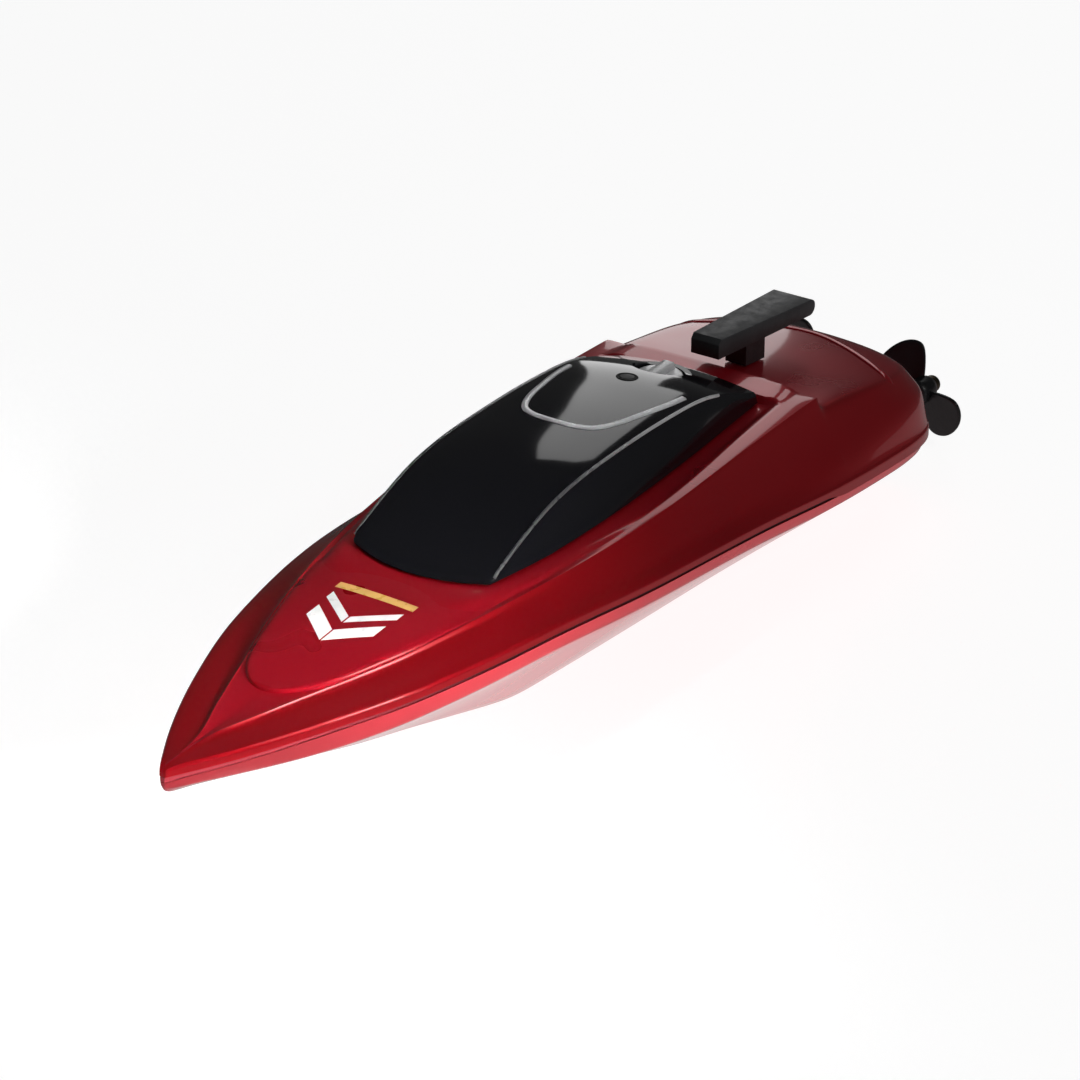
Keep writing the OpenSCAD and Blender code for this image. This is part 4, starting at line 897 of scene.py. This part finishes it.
def finishes(colours):
    """Every finish of the boat, made once."""
    if FINISHES:
        return FINISHES
    FINISHES.update({
        # The flare's paint is the deck's red made a little lighter and more metallic: painted light
        # that makes the flared sides brighter than the deck's top
        "flare": gloss_paint("candy_red_flare", colours.flare, rough=0.3, metallic=0.65),
        "deck": gloss_paint("candy_red_deck", colours.deck, rough=0.28, metallic=0.4),
        # Lower hull red, painted darker towards the bow (from x 0.10 to 0.17, down to 0.42 of the
        # red): painted shade that offsets the bow lamp's light
        "hull": gloss_paint("hull_red", colours.hull, rough=0.28,
                            blend=(0.1, 0.17, shade(colours.hull, 0.42))),
        "lining": moulded("red_inside", shade(colours.deck, 0.6), 0.45),
        "canopy": gloss_paint("canopy_black", colours.canopy, deep=0.9, rough=0.08),
        "trim": moulded("bright_trim", (0.78, 0.78, 0.8), 0.3, deep=0.92, coat=0.8),
        "lens": moulded("lens_dark", (0.004, 0.004, 0.005), 0.5),
        "bar": moulded("bar_black", colours.bar, 0.42, 1500.0, 0.2, 0.95),
        "seal": moulded("seal_black", colours.seal, 0.62),
        # The knob's light silver is partly painted highlight: its colour is raised to show the
        # knob's glints
        "knob": moulded("knob_silver_glint", (0.8, 0.8, 0.81), 0.25, deep=0.9, coat=1.0),
        "seam": gloss_paint("seam_shadow", (0.03, 0.005, 0.006), rough=0.5, coat=0.2,
                            blend=(0.11, 0.17, (0.3, 0.03, 0.04, 1.0))),
        # Light grey of the thin beads on the canopy's creases: a painted highlight on the black roof
        # edge, turning dark grey towards the front
        "crease": moulded("crease_painted_highlight", (0.5, 0.5, 0.51), 0.3, deep=0.95, coat=0.6,
                          blend=(0.03, 0.07, (0.1, 0.1, 0.105, 1.0))),
        "nut": metal("dark_brass", (0.1, 0.08, 0.05), 0.35),
        "propeller": moulded("propeller_black", colours.propeller, 0.34, 1300.0, 0.1),
        "steel": metal("drawn_steel", (0.58, 0.58, 0.6)),
        "brass": metal("drawn_brass", (0.74, 0.55, 0.24)),
        "nylon": moulded("nylon_ivory", (0.78, 0.74, 0.64), 0.48, deep=0.9),
        "frame": moulded("frame_black", (0.025, 0.025, 0.028), 0.55),
        "tray": moulded("tray_grey", (0.13, 0.13, 0.14), 0.5),
        "coupling": moulded("coupling_orange", (0.62, 0.2, 0.04), 0.55),
        "windings": windings("copper_windings", (0.55, 0.25, 0.1, 1.0)),
        "film": film("battery_film", (0.03, 0.11, 0.42, 1.0)),
        "strap": woven("strap_webbing", (0.03, 0.03, 0.032, 1.0)),
        "foam": foam("foam_yellow", (0.72, 0.55, 0.14, 1.0)),
        "board": board("board_green", (0.02, 0.2, 0.07, 1.0)),
        "chip": moulded("chip_black", (0.015, 0.015, 0.016), 0.4),
        "wire_red": moulded("wire_red", (0.5, 0.015, 0.015), 0.42),
        "wire_black": moulded("wire_black", (0.012, 0.012, 0.012), 0.42),
        "white": moulded("motif_white", colours.white, 0.3, deep=0.95, coat=0.6),
        "gold": moulded("motif_gold", colours.gold, 0.3, deep=0.85, coat=0.6),
    })
    return FINISHES


class BoatOperator(bpy.types.Operator):
    """Shared base of the operators that model the boat."""

    bl_options = {"REGISTER", "UNDO"}

    def setup(self, context):
        """Takes up the sizes, the lines and the finishes."""
        self.sizes = context.scene.boat_sizes
        self.lines = Lines(self.sizes)
        self.look = finishes(context.scene.boat_colours)

    def dress(self, *rows):
        """Refines CAD pieces: node, look, slot (not used) and, where given, edge width and angle."""
        for node, look, *rest in rows:
            refined(node, self.look[look], *rest)
        return {"FINISHED"}


class BOAT_OT_stage(bpy.types.Operator):
    """Sets up the floor, the studio lights and the camera"""

    bl_idname = "boat.stage"
    bl_label = "Stage"

    def execute(self, context):
        context.scene.view_settings.view_transform = "Standard"
        self.floor()
        self.reflectors()
        self.sky(context.scene)
        self.lamps()
        self.camera(context.scene)
        return {"FINISHED"}

    def floor(self):
        """Pale floor that glows evenly near the boat and fades far off."""
        m, t, b, where = finish("pale_floor", **{"Roughness": 0.8, "Specular IOR Level": 0.1,
                                                 "Emission Strength": 1.05})
        reach = add(t, "Mapping", {"Vector": where, "Scale": (0.8, 0.8, 0.8)}).outputs["Vector"]
        near = add(t, "TexGradient", {"Vector": reach}, gradient_type="SPHERICAL").outputs["Fac"]
        tone(t, b, near, (0.16, 0.16, 0.165, 1.0), (0.86, 0.86, 0.86, 1.0), 0.2, 0.55)
        paper = b.inputs["Base Color"].links[0]
        t.links.new(paper.from_socket, b.inputs["Emission Color"])
        t.links.remove(paper)
        b.inputs["Base Color"].default_value = (0.25, 0.25, 0.25, 1.0)
        bm = bmesh.new()
        bmesh.ops.create_grid(bm, x_segments=8, y_segments=8, size=4.0)
        bmesh.ops.translate(bm, vec=(0, 0, -0.0002), verts=bm.verts)
        floor = thing(bm, "floor", [m])
        floor.visible_glossy = False

    def reflectors(self):
        """Dim sheets that light the hull's sides from below in reflections."""
        for name, glow, (x0, y0), (x1, y1), low in REFLECTORS:
            m, t, b, where = finish(name, **{"Emission Strength": glow, "Specular IOR Level": 0.0})
            tone(t, b, noise(t, where, 3.0), (0.04, 0.04, 0.04, 1.0), (0.05, 0.05, 0.05, 1.0))
            b.inputs["Emission Color"].default_value = (1.0, 0.86, 0.86, 1.0)
            corners = [Vector((x, y, low)) for x, y in ((x0, y0), (x1, y0), (x1, y1), (x0, y1))]
            sheet = thing(prism(corners, (0, 0, 0.00007)), name, [m])
            sheet.visible_camera = sheet.visible_diffuse = sheet.visible_shadow = False

    def sky(self, scene):
        """Dim grey room."""
        scene.world = world = bpy.data.worlds.new("studio")
        world.use_nodes = True
        sky = world.node_tree
        sky.nodes.clear()
        way = add(sky, "TexCoord").outputs["Generated"]
        up = add(sky, "SeparateXYZ", {"Vector": way}).outputs["Z"]
        fade = add(sky, "ValToRGB", {"Fac": up})
        stops = fade.color_ramp.elements
        stops[0].position, stops[0].color = 0.0, (0.04, 0.04, 0.04, 1.0)
        stops[1].position, stops[1].color = 0.5, (0.032, 0.032, 0.032, 1.0)
        back = add(sky, "Background", {"Color": fade.outputs["Color"], "Strength": 1.0})
        sky.links.new(back.outputs["Background"], add(sky, "OutputWorld").inputs["Surface"])

    def lamps(self):
        """Soft boxes round the boat."""
        for name, place_at, aim, wide, tall, power, beam, mirrored in LAMPS:
            lamp = bpy.data.lights.new(name, "AREA")
            lamp.shape, lamp.size, lamp.size_y, lamp.energy = "RECTANGLE", wide, tall, power
            lamp.spread = math.radians(beam)
            ob = linked(name, lamp)
            ob.location = place_at
            ob.rotation_euler = (Vector(aim) - Vector(place_at)).to_track_quat("-Z", "Y").to_euler()
            ob.visible_glossy = mirrored

    def camera(self, scene):
        """Camera at the photograph's angle."""
        turn, pitch = CAMERA_TURN, CAMERA_PITCH
        back_way = Vector((math.cos(turn) * math.cos(pitch), math.sin(turn) * math.cos(pitch),
                           math.sin(pitch)))
        right = Vector((-math.sin(turn), math.cos(turn), 0.0))
        facing = Matrix((right, back_way.cross(right), back_way)).transposed().to_4x4()
        data = bpy.data.cameras.new("camera")
        data.sensor_fit, data.sensor_width, data.sensor_height = "HORIZONTAL", SENSOR, SENSOR
        data.lens, data.clip_start = SENSOR * LENS_PIXELS / PICTURE_PIXELS, 0.01
        scene.camera = camera = linked("camera", data)
        camera.matrix_world = Matrix.Translation(CAMERA_AT) @ facing


class BOAT_OT_hull(BoatOperator):
    """Lofts the lower hull and the seam gasket round its edge"""

    bl_idname = "boat.hull"
    bl_label = "Hull"

    def execute(self, context):
        self.setup(context)
        k = self.lines
        stations = k.stations()
        outer = [ring(s, k.hull_half(s), k.keel_z(s)) for s in stations]
        inner = []
        for s in stations:
            h = k.hollow_s(s)
            half = hollow(k.hull_half(h), k.keel_z(h), k.wall, 1)
            inner.append(ring(h, half, half[-1][1]))

        def crease(i, j, lengthwise):
            return {2: 0.75, 5: 0.6}.get(j, 0.0) if lengthwise else 0.6 if i == 0 else 0.0

        bm = shell(outer, inner, crease, lambda i, j: 0 if j < len(outer[0]) - 1 else 1)
        hull = thing(bm, "hull_skin", [self.look["hull"], self.look["lining"]])
        rounded(hull, 2)
        place(hull, "hull", ("hull_shell",))

        def loop(rings, rise, draw):
            pts = [r[0] for r in rings] + [r[-1] for r in reversed(rings)]
            pts += [Vector((p.x, p.y, rings[0][0].z)) for p in rings[0][-2:0:-1]]
            pts.append(pts[0])
            return [Vector((p.x, p.y * draw, p.z + rise * MM)) for p in pts]

        low, high, draw = SEAT, k.seam_t - SEAT, 0.992
        loops = [loop(outer, low, draw), loop(inner, low, 1),
                 loop(inner, high, 1), loop(outer, high, draw)]
        bm = loft(loops + loops[:1])
        seam = thing(bm, "seam_band", [self.look["seam"]])
        place(seam, "hull", ("seam_gasket",))
        return {"FINISHED"}


class BOAT_OT_deck(BoatOperator):
    """Lofts the deck with its coaming, ridges and lip, and lays the bow pad and its motif on it"""

    bl_idname = "boat.deck"
    bl_label = "Deck"

    def execute(self, context):
        self.setup(context)
        k = self.lines
        stations = k.stations()
        outer = [ring(s, k.deck_half(s), k.middle_z(s)) for s in stations]
        inner = []
        for s in stations:
            h = k.hollow_s(s)
            low = min(k.middle_z(h - k.wall), k.middle_z(h), k.middle_z(h + k.wall))
            half = k.deck_half(h)
            drop = k.middle_z(h) - low
            half = [(y, z - (drop if i > 6 else 0)) for i, (y, z) in enumerate(half)]
            inner.append(ring(h, hollow(half, low, k.wall, -1), low - k.wall))
        n = len(outer[0])

        # Paint 0 is the lighter flare copy of the red (painted light), paint 1 the deck's top and
        # paint 2 the inside
        def paint(i, j):
            if j >= n - 1:
                return 2
            return 1 if 6 <= j <= n - 8 and i > 2 else 0

        steps = [stations.index(s) for s in (COAMING_S - STEP_L, COAMING_S,
                                             COAMING_FRONT - STEP_L, COAMING_FRONT)]

        def crease(i, j, lengthwise):
            if not lengthwise:
                return 0.85 if i in steps and j >= 6 else 0.25 if i == 0 else 0.0
            if i < steps[0]:
                return {1: 0.7, 2: 0.7, 3: 0.3, 8: 0.1}.get(j, 0.0)
            return {1: 0.7, 2: 0.7, 3: 0.5, 6: 0.9, 7: 0.8, 8: 0.2}.get(j, 0.0)

        bm = shell(outer, inner, crease, paint)
        deck = thing(bm, "deck_skin", [self.look["flare"], self.look["deck"], self.look["lining"]])
        rounded(deck, 2)
        plan = [at(s, y, HATCH_Z - 2 * k.wall) for s, y in k.outline(LEDGE_W)]
        hatch = prism(plan, (0, 0, 3 * k.wall * MM))
        cut(deck, thing(hatch, "hatch_tool", []))
        place(deck, "hull", ("deck_shell",))
        self.aft_rim(deck)
        self.bow_pad(deck)
        self.lugs()
        return {"FINISHED"}

    def aft_rim(self, deck):
        """Low bead that curves across the aft deck."""
        path, reach, sweep, blunt = [], 31.0, 0.58, 10
        for i in range(61):
            y = reach * (-1 + i / 30)
            share = min(1.0, 0.25 * (reach - abs(y)) + 0.1)
            path.append((0.2 + sweep * math.hypot(y, blunt), y, share))
        profile = ((-1.3, -0.3), (-1.2, 0.12), (-0.6, 0.33), (0.0, 0.45), (0.6, 0.48), (1.0, 0.3),
                   (1.15, -0.3))
        rim = beading("aft_rim", path, profile, surface(deck), self.look["deck"])
        place(rim, "hull", angle=70)

    def bow_pad(self, deck):
        """Raised pad with a rounded nose between the bow's creases, and the motif on it."""
        k, under = self.lines, surface(deck)
        rear, nose, blunt = CANOPY_FRONT + 1.6, 234.0, 13.0
        lift = self.sizes.pad_height / MM
        across = (-1.0, -0.965, -0.91, -0.8, -0.45, 0.0, 0.45, 0.8, 0.91, 0.965, 1.0)
        edge = {1.0: -0.6, 0.965: 0.3, 0.91: 0.95}

        def half_width(s):
            full = k.shoulder_y(s) + 0.15
            return full * max(0.0, 1 - ramp(s, nose - blunt, nose) ** 2.4) ** (1 / 2.4)

        rows = []
        along = [rear + (nose - blunt - rear) * i / 6 for i in range(6)]
        along += [nose - blunt + blunt * math.sin(math.pi / 2 * i / 8) for i in range(9)]
        for i, s in enumerate(along):
            w = half_width(s)
            fade = 0.25 + 0.75 * ease(s, rear, nose - 2 * blunt)
            row = []
            for v in across:
                share = min(edge.get(abs(v), 1.0), -0.35 if i in (0, len(along) - 1) else 1.0)
                row.append(at(s, v * w, under(s, v * w) + lift * fade * share))
            rows.append(row)
        pad = upward(thing(loft(rows), "bow_pad", [self.look["deck"]]))
        rounded(pad, 2)
        thicken(pad, 0.0009)
        place(pad, "hull", angle=60)
        self.motif(surface(deck, pad))

    def motif(self, under):
        """Plain arrow stripes in white and gold on the bow pad."""
        def patch(name, corners, material):
            (a, b), (c, d) = corners

            def point(u, v):
                s, y = ((a[k] * (1 - u) + b[k] * u) * (1 - v) + (c[k] * (1 - u) + d[k] * u) * v
                        for k in (0, 1))
                return at(s, y, under(s, y) + 0.07)

            rows = [[point(i / 12, j / 4) for j in range(5)] for i in range(13)]
            ob = upward(thing(loft(rows), name, [self.look[material]]))
            thicken(ob, 0.00012)
            place(ob, "hull", angle=60)

        tip, sweep, gap = 213.5, 7.0, 0.25
        for name, front, half, wide in (("near", tip, 9.0, 4.6), ("far", tip - 8.0, 9.5, 2.6)):
            for side, word in SIDES:
                patch(f"arrow_{name}_{word}",
                      (((front, gap * side), (front - sweep, half * side)),
                       ((front - wide, gap * side), (front - sweep - wide, half * side))), "white")
        front, rear, half = 194.0, 191.8, 10.5
        patch("stripe_gold",
              (((front, -half), (front, half)), ((rear, -half), (rear, half))), "gold")

    def lugs(self):
        """Eyes under the foredeck that carry the hinge pin."""
        arc = [round_pin(EYE_R, a) for a in range(180, 361, 15)]
        arc += [(HINGE_S + d, HINGE_Z + LUG_RISE) for d in (EYE_R, -EYE_R)]
        for side, name in SIDES:
            bm = prism([at(x, side * LUG_Y, h) for x, h in arc], (0, side * ARM_W * MM, 0))
            bevelled(bm, 0.0002)
            place(thing(bm, "hinge_lug_" + name, [self.look["lining"]]), "hull")


class BOAT_OT_canopy(BoatOperator):
    """Lofts the canopy with its latch well, hinge arms, roof strip and lens"""

    bl_idname = "boat.canopy"
    bl_label = "Canopy"

    def execute(self, context):
        self.setup(context)
        k = self.lines
        stations = [CANOPY_REAR + (FRONT_CORNER - CANOPY_REAR) * i / 18 for i in range(19)]
        stations += [FRONT_CORNER + FRONT_BOW * f for f in (0.25, 0.5, 0.7, 0.85, 0.95, 0.99)]
        outer = [ring(s, k.canopy_half(s), k.roof_z(s)) for s in stations]
        inner = []
        room = CANOPY_FRONT - CANOPY_REAR - NOSE_L - CANOPY_WALL
        for s in stations:
            h = CANOPY_REAR + CANOPY_WALL + room * k.canopy_u(s)
            half = hollow(k.canopy_half(h), k.roof_z(h), CANOPY_WALL, -1)
            inner.append(ring(h, half, k.roof_z(h) - CANOPY_WALL))

        def crease(i, j, lengthwise):
            return (0.85 if j == 2 else 0.0) if lengthwise else 0.6 if i == 0 else 0.0

        bm = shell(outer, inner, crease)
        canopy = thing(bm, "canopy_skin", [self.look["canopy"]])
        rounded(canopy, 2)
        floor = k.crease_z(KNOB_S) - WELL_SINK - WELL_DEPTH
        for x, low, r in ((KNOB_S, floor, WELL_R), (LENS_S, EDGE_Z, LENS_HOLE_R)):
            hole = turned(((0, 0), (0, r), (18, r), (18, 0)), upright(x, low))
            cut(canopy, thing(hole, "hole_tool", []))
        place(canopy, "canopy", ("canopy_shell",), 30)
        self.well(floor)
        self.arms()
        self.roof(canopy)
        return {"FINISHED"}

    def well(self, floor):
        """Cup round the knob, whose rim meets the sloping roof."""
        bore, wall, foot, rim, sag = 2.05, WELL_R + 1.5, -3, 1.8, 0.007
        cup = turned(((foot, bore), (foot, wall - 0.2), (foot + 0.4, wall), (rim, wall),
                      (rim, WELL_R + 0.05), (0.15, WELL_R), (0, WELL_R - 0.2), (0, bore),
                      (foot, bore)), upright(KNOB_S, floor))
        for v in cup.verts:
            if v.co.z > (floor + rim / 2) * MM:
                s, y = (v.co.x - STERN_X) / MM, v.co.y / MM
                under = self.lines.roof_z(s) - CANOPY_WALL / 2 - sag * y * y
                v.co.z = max(v.co.z, under * MM)
        place(thing(cup, "latch_well", [self.look["canopy"]]), "canopy")

    def arms(self):
        """Two goosenecks from the canopy's front down to the hinge pin."""
        outer = [round_pin(ARM_R + ARM_T / 2, a) for a in range(165, 227, 4)]
        inner = [round_pin(ARM_R - ARM_T / 2, a) for a in range(225, 164, -4)]
        hub = [round_pin(EYE_R, a) for a in range(-118, 196, 12)]
        aft = round_pin(ARM_R, 165)[0] - ARM_T / 2
        top = [(aft + d, EDGE_Z + 1.6) for d in (ARM_T, 0)]
        line = outer + hub + inner + top
        for side, name in SIDES:
            y = side * ARM_Y - ARM_W / 2
            bm = prism([at(x, y, h) for x, h in line], (0, ARM_W * MM, 0))
            bevelled(bm, 0.0002)
            place(thing(bm, "hinge_arm_" + name, [self.look["canopy"]]), "canopy")

    def roof(self, canopy):
        """Bright strip round the sunroof and the dark lens behind it."""
        k, under = self.lines, surface(canopy)
        half = [(TRIM_REAR + TRIM_L * u, k.roof_w / 2 * v) for u, v in TRIM_PLAN]
        plan = half + [(s, -y) for s, y in reversed(half)]
        way = smooth_route([(s, y, 0) for s, y in plan], 6)
        w = self.sizes.trim_width / MM / 2
        profile = ((-w, -0.3), (-w, 0.15), (-0.6 * w, 0.38), (0.6 * w, 0.38), (w, 0.15), (w, -0.3))
        path = [(p.x, p.y, 1.0) for p in way]
        strip = beading("roof_strip", path, profile, under, self.look["trim"])
        place(strip, "canopy", ("roof_trim",), 50)
        # Beads along the roof's creases, in the crease finish whose light grey is a painted
        # highlight
        start, end, sunk = CANOPY_REAR + 17, FRONT_CORNER - 1.5, 0.12
        for side, name in SIDES:
            line = []
            for i in range(61):
                s = start + (end - start) * i / 60
                y = side * (k.crease_y(s) - sunk)
                line.append(at(s, y, under(s, y) - sunk))
            bead = piped("roof_crease_" + name, line, 0.00042, [self.look["crease"]], 4)
            place(bead, "canopy")
        reach = 3
        fore, aft = under(LENS_S + reach, 0), under(LENS_S - reach, 0)
        up = upright(LENS_S, (fore + aft) / 2, math.atan2(fore - aft, 2 * reach))
        r = LENS_HOLE_R - 0.1
        lens = turned(((-2, 0), (-2, r), (0.1, r), (0.2, r - 0.1), (0.22, 0.9), (0.24, 0)), up, 32)
        lens = thing(lens, "roof_lens_piece", [self.look["lens"]])
        place(lens, "canopy", ("roof_lens",))
        near, far = LENS_HOLE_R - 0.05, LENS_HOLE_R + 0.75
        bezel = turned(((-1, near), (-1, far), (0.05, far), (0.2, far - 0.15), (0.2, near + 0.2),
                        (0.05, near), (-1, near)), up, 40)
        place(thing(bezel, "roof_lens_bezel", [self.look["seal"]]), "canopy")


class BOAT_OT_latch(BoatOperator):
    """Shapes the quarter-turn latch: knob, tongue and nut"""

    bl_idname = "boat.latch"
    bl_label = "Latch"

    def execute(self, context):
        self.setup(context)
        low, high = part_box("latch_knob")
        base = float(high[2]) / MM - KNOB_H
        foot = float(low[2]) / MM - base
        knob = turned(((foot, 0), (foot, 1.7), (foot + 0.3, 2), (0.15, 2), (0.15, 5.7), (0.4, 6),
                       (1.7, 6), (2.1, 5.7), (2.2, 5.2), (2.2, 0)), upright(KNOB_S, base))
        body = thing(knob, "latch_knob_piece", [self.look["knob"]])
        place(body, "latch", ("latch_knob",))
        side = ((-5.4, 1.9), (-5.2, 3.4), (-4.5, 4.1), (4.5, 4.1), (5.2, 3.4), (5.4, 1.9))
        grip = prism([at(KNOB_S + x, -1.5, base + z) for x, z in side], (0, 0.003, 0))
        bevelled(grip, 0.0004, segments=3)
        place(thing(grip, "latch_grip", [self.look["knob"]]), "latch")
        return self.dress(("latch_tongue", "nylon", "nylon", 0.0003),
                          ("latch_nut", "steel", "steel", 0.0002))


class BOAT_OT_handle(BoatOperator):
    """Shapes the carry bar on its foot"""

    bl_idname = "boat.handle"
    bl_label = "Carry bar"

    def execute(self, context):
        self.setup(context)
        return self.dress(("carry_handle", "bar", "handle_black", 0.0007),
                          ("handle_screws", "steel", "steel"))


class BOAT_OT_drives(BoatOperator):
    """Shapes both propellers with their shafts, tubes and glands"""

    bl_idname = "boat.drives"
    bl_label = "Drives"

    def execute(self, context):
        self.setup(context)
        for hand, side in SIDES:
            self.propeller(hand, side)
            self.dress((side + "_prop_nut", "nut", "brass", 0.0003),
                       (side + "_prop_shaft", "steel", "steel"),
                       (side + "_stern_tube", "brass", "brass"),
                       (side + "_gland", "seal", "seal_black", 0.0004),
                       (side + "_bushes", "nylon", "nylon", 0),
                       (side + "_coupling", "coupling", "coupling_rubber", 0.0003))
        return {"FINISHED"}

    def propeller(self, hand, side):
        """Two rounded, pitched blades on a hub, turned about the shaft."""
        where = Matrix.Translation(at(PROP_S, hand * PROP_Y, PROP_Z))
        where @= Matrix.Rotation(SHAFT_TILT, 4, "Y")
        end, bore, full = 3.75, 1.15, 3.5
        hub = turned(((-end, bore), (-end, 2.4), (-3.2, 3.1), (-1.6, full), (2.6, full),
                      (3.45, 3.1), (end, 2.6), (end, bore), (-end, bore)), where, 40)
        tip, root, wide, pitch = self.sizes.propeller / MM / 2, 3.2, math.radians(56.0), 0.4

        def point(u, v):
            reach = root + (tip - root) * max(0.0, 1 - abs(u) ** 3.4) ** (1 / 2.6)
            r = root - 0.5 + (reach - root + 0.5) * v
            a = wide * u * (0.6 + 0.4 * v)
            return Vector((hand * pitch * r * math.sin(a), r * math.cos(a), r * math.sin(a))) * MM

        for turn in (PROP_REST, PROP_REST + 180):
            rows = [[point(-1 + j / 6, i / 10) for j in range(13)] for i in range(11)]
            blade = thing(loft(rows), "blade", [])
            mod = blade.modifiers.new("thickness", "SOLIDIFY")
            mod.thickness, mod.offset = 0.0011, 0.0
            rounded(blade, 2)
            mesh = blade.data
            bpy.data.objects.remove(blade)
            with reshaped(mesh) as leaf:
                leaf.transform(where @ Matrix.Rotation(math.radians(turn), 4, "X"))
            hub.from_mesh(mesh)
            bpy.data.meshes.remove(mesh)
        bmesh.ops.recalc_face_normals(hub, faces=hub.faces)
        ob = thing(hub, side + "_propeller_piece", [self.look["propeller"]])
        place(ob, side + "_drive", (side + "_propeller",), 40)


class BOAT_OT_motors(BoatOperator):
    """Dresses the motors, their cradle and their clamp"""

    bl_idname = "boat.motors"
    bl_label = "Motors"

    def execute(self, context):
        self.setup(context)
        for _, side in SIDES:
            self.dress((side + "_motor_can", "steel", "steel", 0.0003),
                       (side + "_motor_cap", "nylon", "nylon", 0.0002),
                       (side + "_rotor", "windings", "rotor_iron", 0.0002))
        return self.dress(("motor_cradle", "frame", "frame_black", 0.0003),
                          ("motor_clamp", "frame", "frame_black", 0.0003),
                          ("clamp_screws", "steel", "steel", 0.0002))


class BOAT_OT_power(BoatOperator):
    """Dresses the battery, its tray and its strap"""

    bl_idname = "boat.power"
    bl_label = "Battery"

    def execute(self, context):
        self.setup(context)
        return self.dress(("battery_tray", "tray", "tray_grey", 0.0003),
                          ("battery_pack", "film", "battery_blue", 0.0008),
                          ("battery_strap", "strap", "strap_black", 0.0002))


class BOAT_OT_control(BoatOperator):
    """Dresses the receiver, the power switch, the contacts and the hinge pin"""

    bl_idname = "boat.control"
    bl_label = "Receiver"

    def execute(self, context):
        self.setup(context)
        return self.dress(("receiver_pad", "foam", "foam_yellow"),
                          ("receiver_board", "board", "board_green"),
                          ("receiver_chips", "chip", "chip_black"),
                          ("switch_body", "steel", "steel"),
                          ("switch_slider", "chip", "chip_black"),
                          ("water_contacts", "steel", "steel"),
                          ("hinge_pin", "steel", "steel"),
                          ("hatch_gasket", "seal", "seal_black"))


class BOAT_OT_wires(BoatOperator):
    """Lays the leads between the motors, the battery and the receiver"""

    bl_idname = "boat.wires"
    bl_label = "Leads"

    def execute(self, context):
        self.setup(context)
        plain, smooth = 0, 70.0
        return self.dress(("port_motor_lead", "wire_red", "wire_red", plain, smooth),
                          ("starboard_motor_lead", "wire_red", "wire_red", plain, smooth),
                          ("battery_lead", "wire_red", "wire_red", plain, smooth),
                          ("aerial_wire", "wire_black", "wire_black", plain, smooth))


class BOAT_PT_panel(bpy.types.Panel):
    """Lists the boat's sizes, colours and steps"""

    bl_idname = "BOAT_PT_panel"
    bl_label = "Toy motor boat"
    bl_space_type = "VIEW_3D"
    bl_region_type = "UI"
    bl_category = "Boat"

    def draw(self, context):
        for group in (context.scene.boat_sizes, context.scene.boat_colours):
            column = self.layout.column()
            for key in group.__annotations__:
                column.prop(group, key)
        for step in STEPS:
            self.layout.operator(step.bl_idname)


STEPS = (BOAT_OT_stage, BOAT_OT_hull, BOAT_OT_deck, BOAT_OT_canopy, BOAT_OT_latch, BOAT_OT_handle,
         BOAT_OT_drives, BOAT_OT_motors, BOAT_OT_power, BOAT_OT_control, BOAT_OT_wires)
CLASSES = (BoatSizes, BoatColours) + STEPS + (BOAT_PT_panel,)


def register():
    for c in CLASSES:
        bpy.utils.register_class(c)
    bpy.types.Scene.boat_sizes = PointerProperty(type=BoatSizes)
    bpy.types.Scene.boat_colours = PointerProperty(type=BoatColours)


def unregister():
    del bpy.types.Scene.boat_colours
    del bpy.types.Scene.boat_sizes
    for c in reversed(CLASSES):
        bpy.utils.unregister_class(c)


def main():
    """Registers the classes and runs every step in order."""
    register()
    for step in STEPS:
        group, name = step.bl_idname.split(".")
        getattr(getattr(bpy.ops, group), name)()


if __name__ == "__main__":
    main()
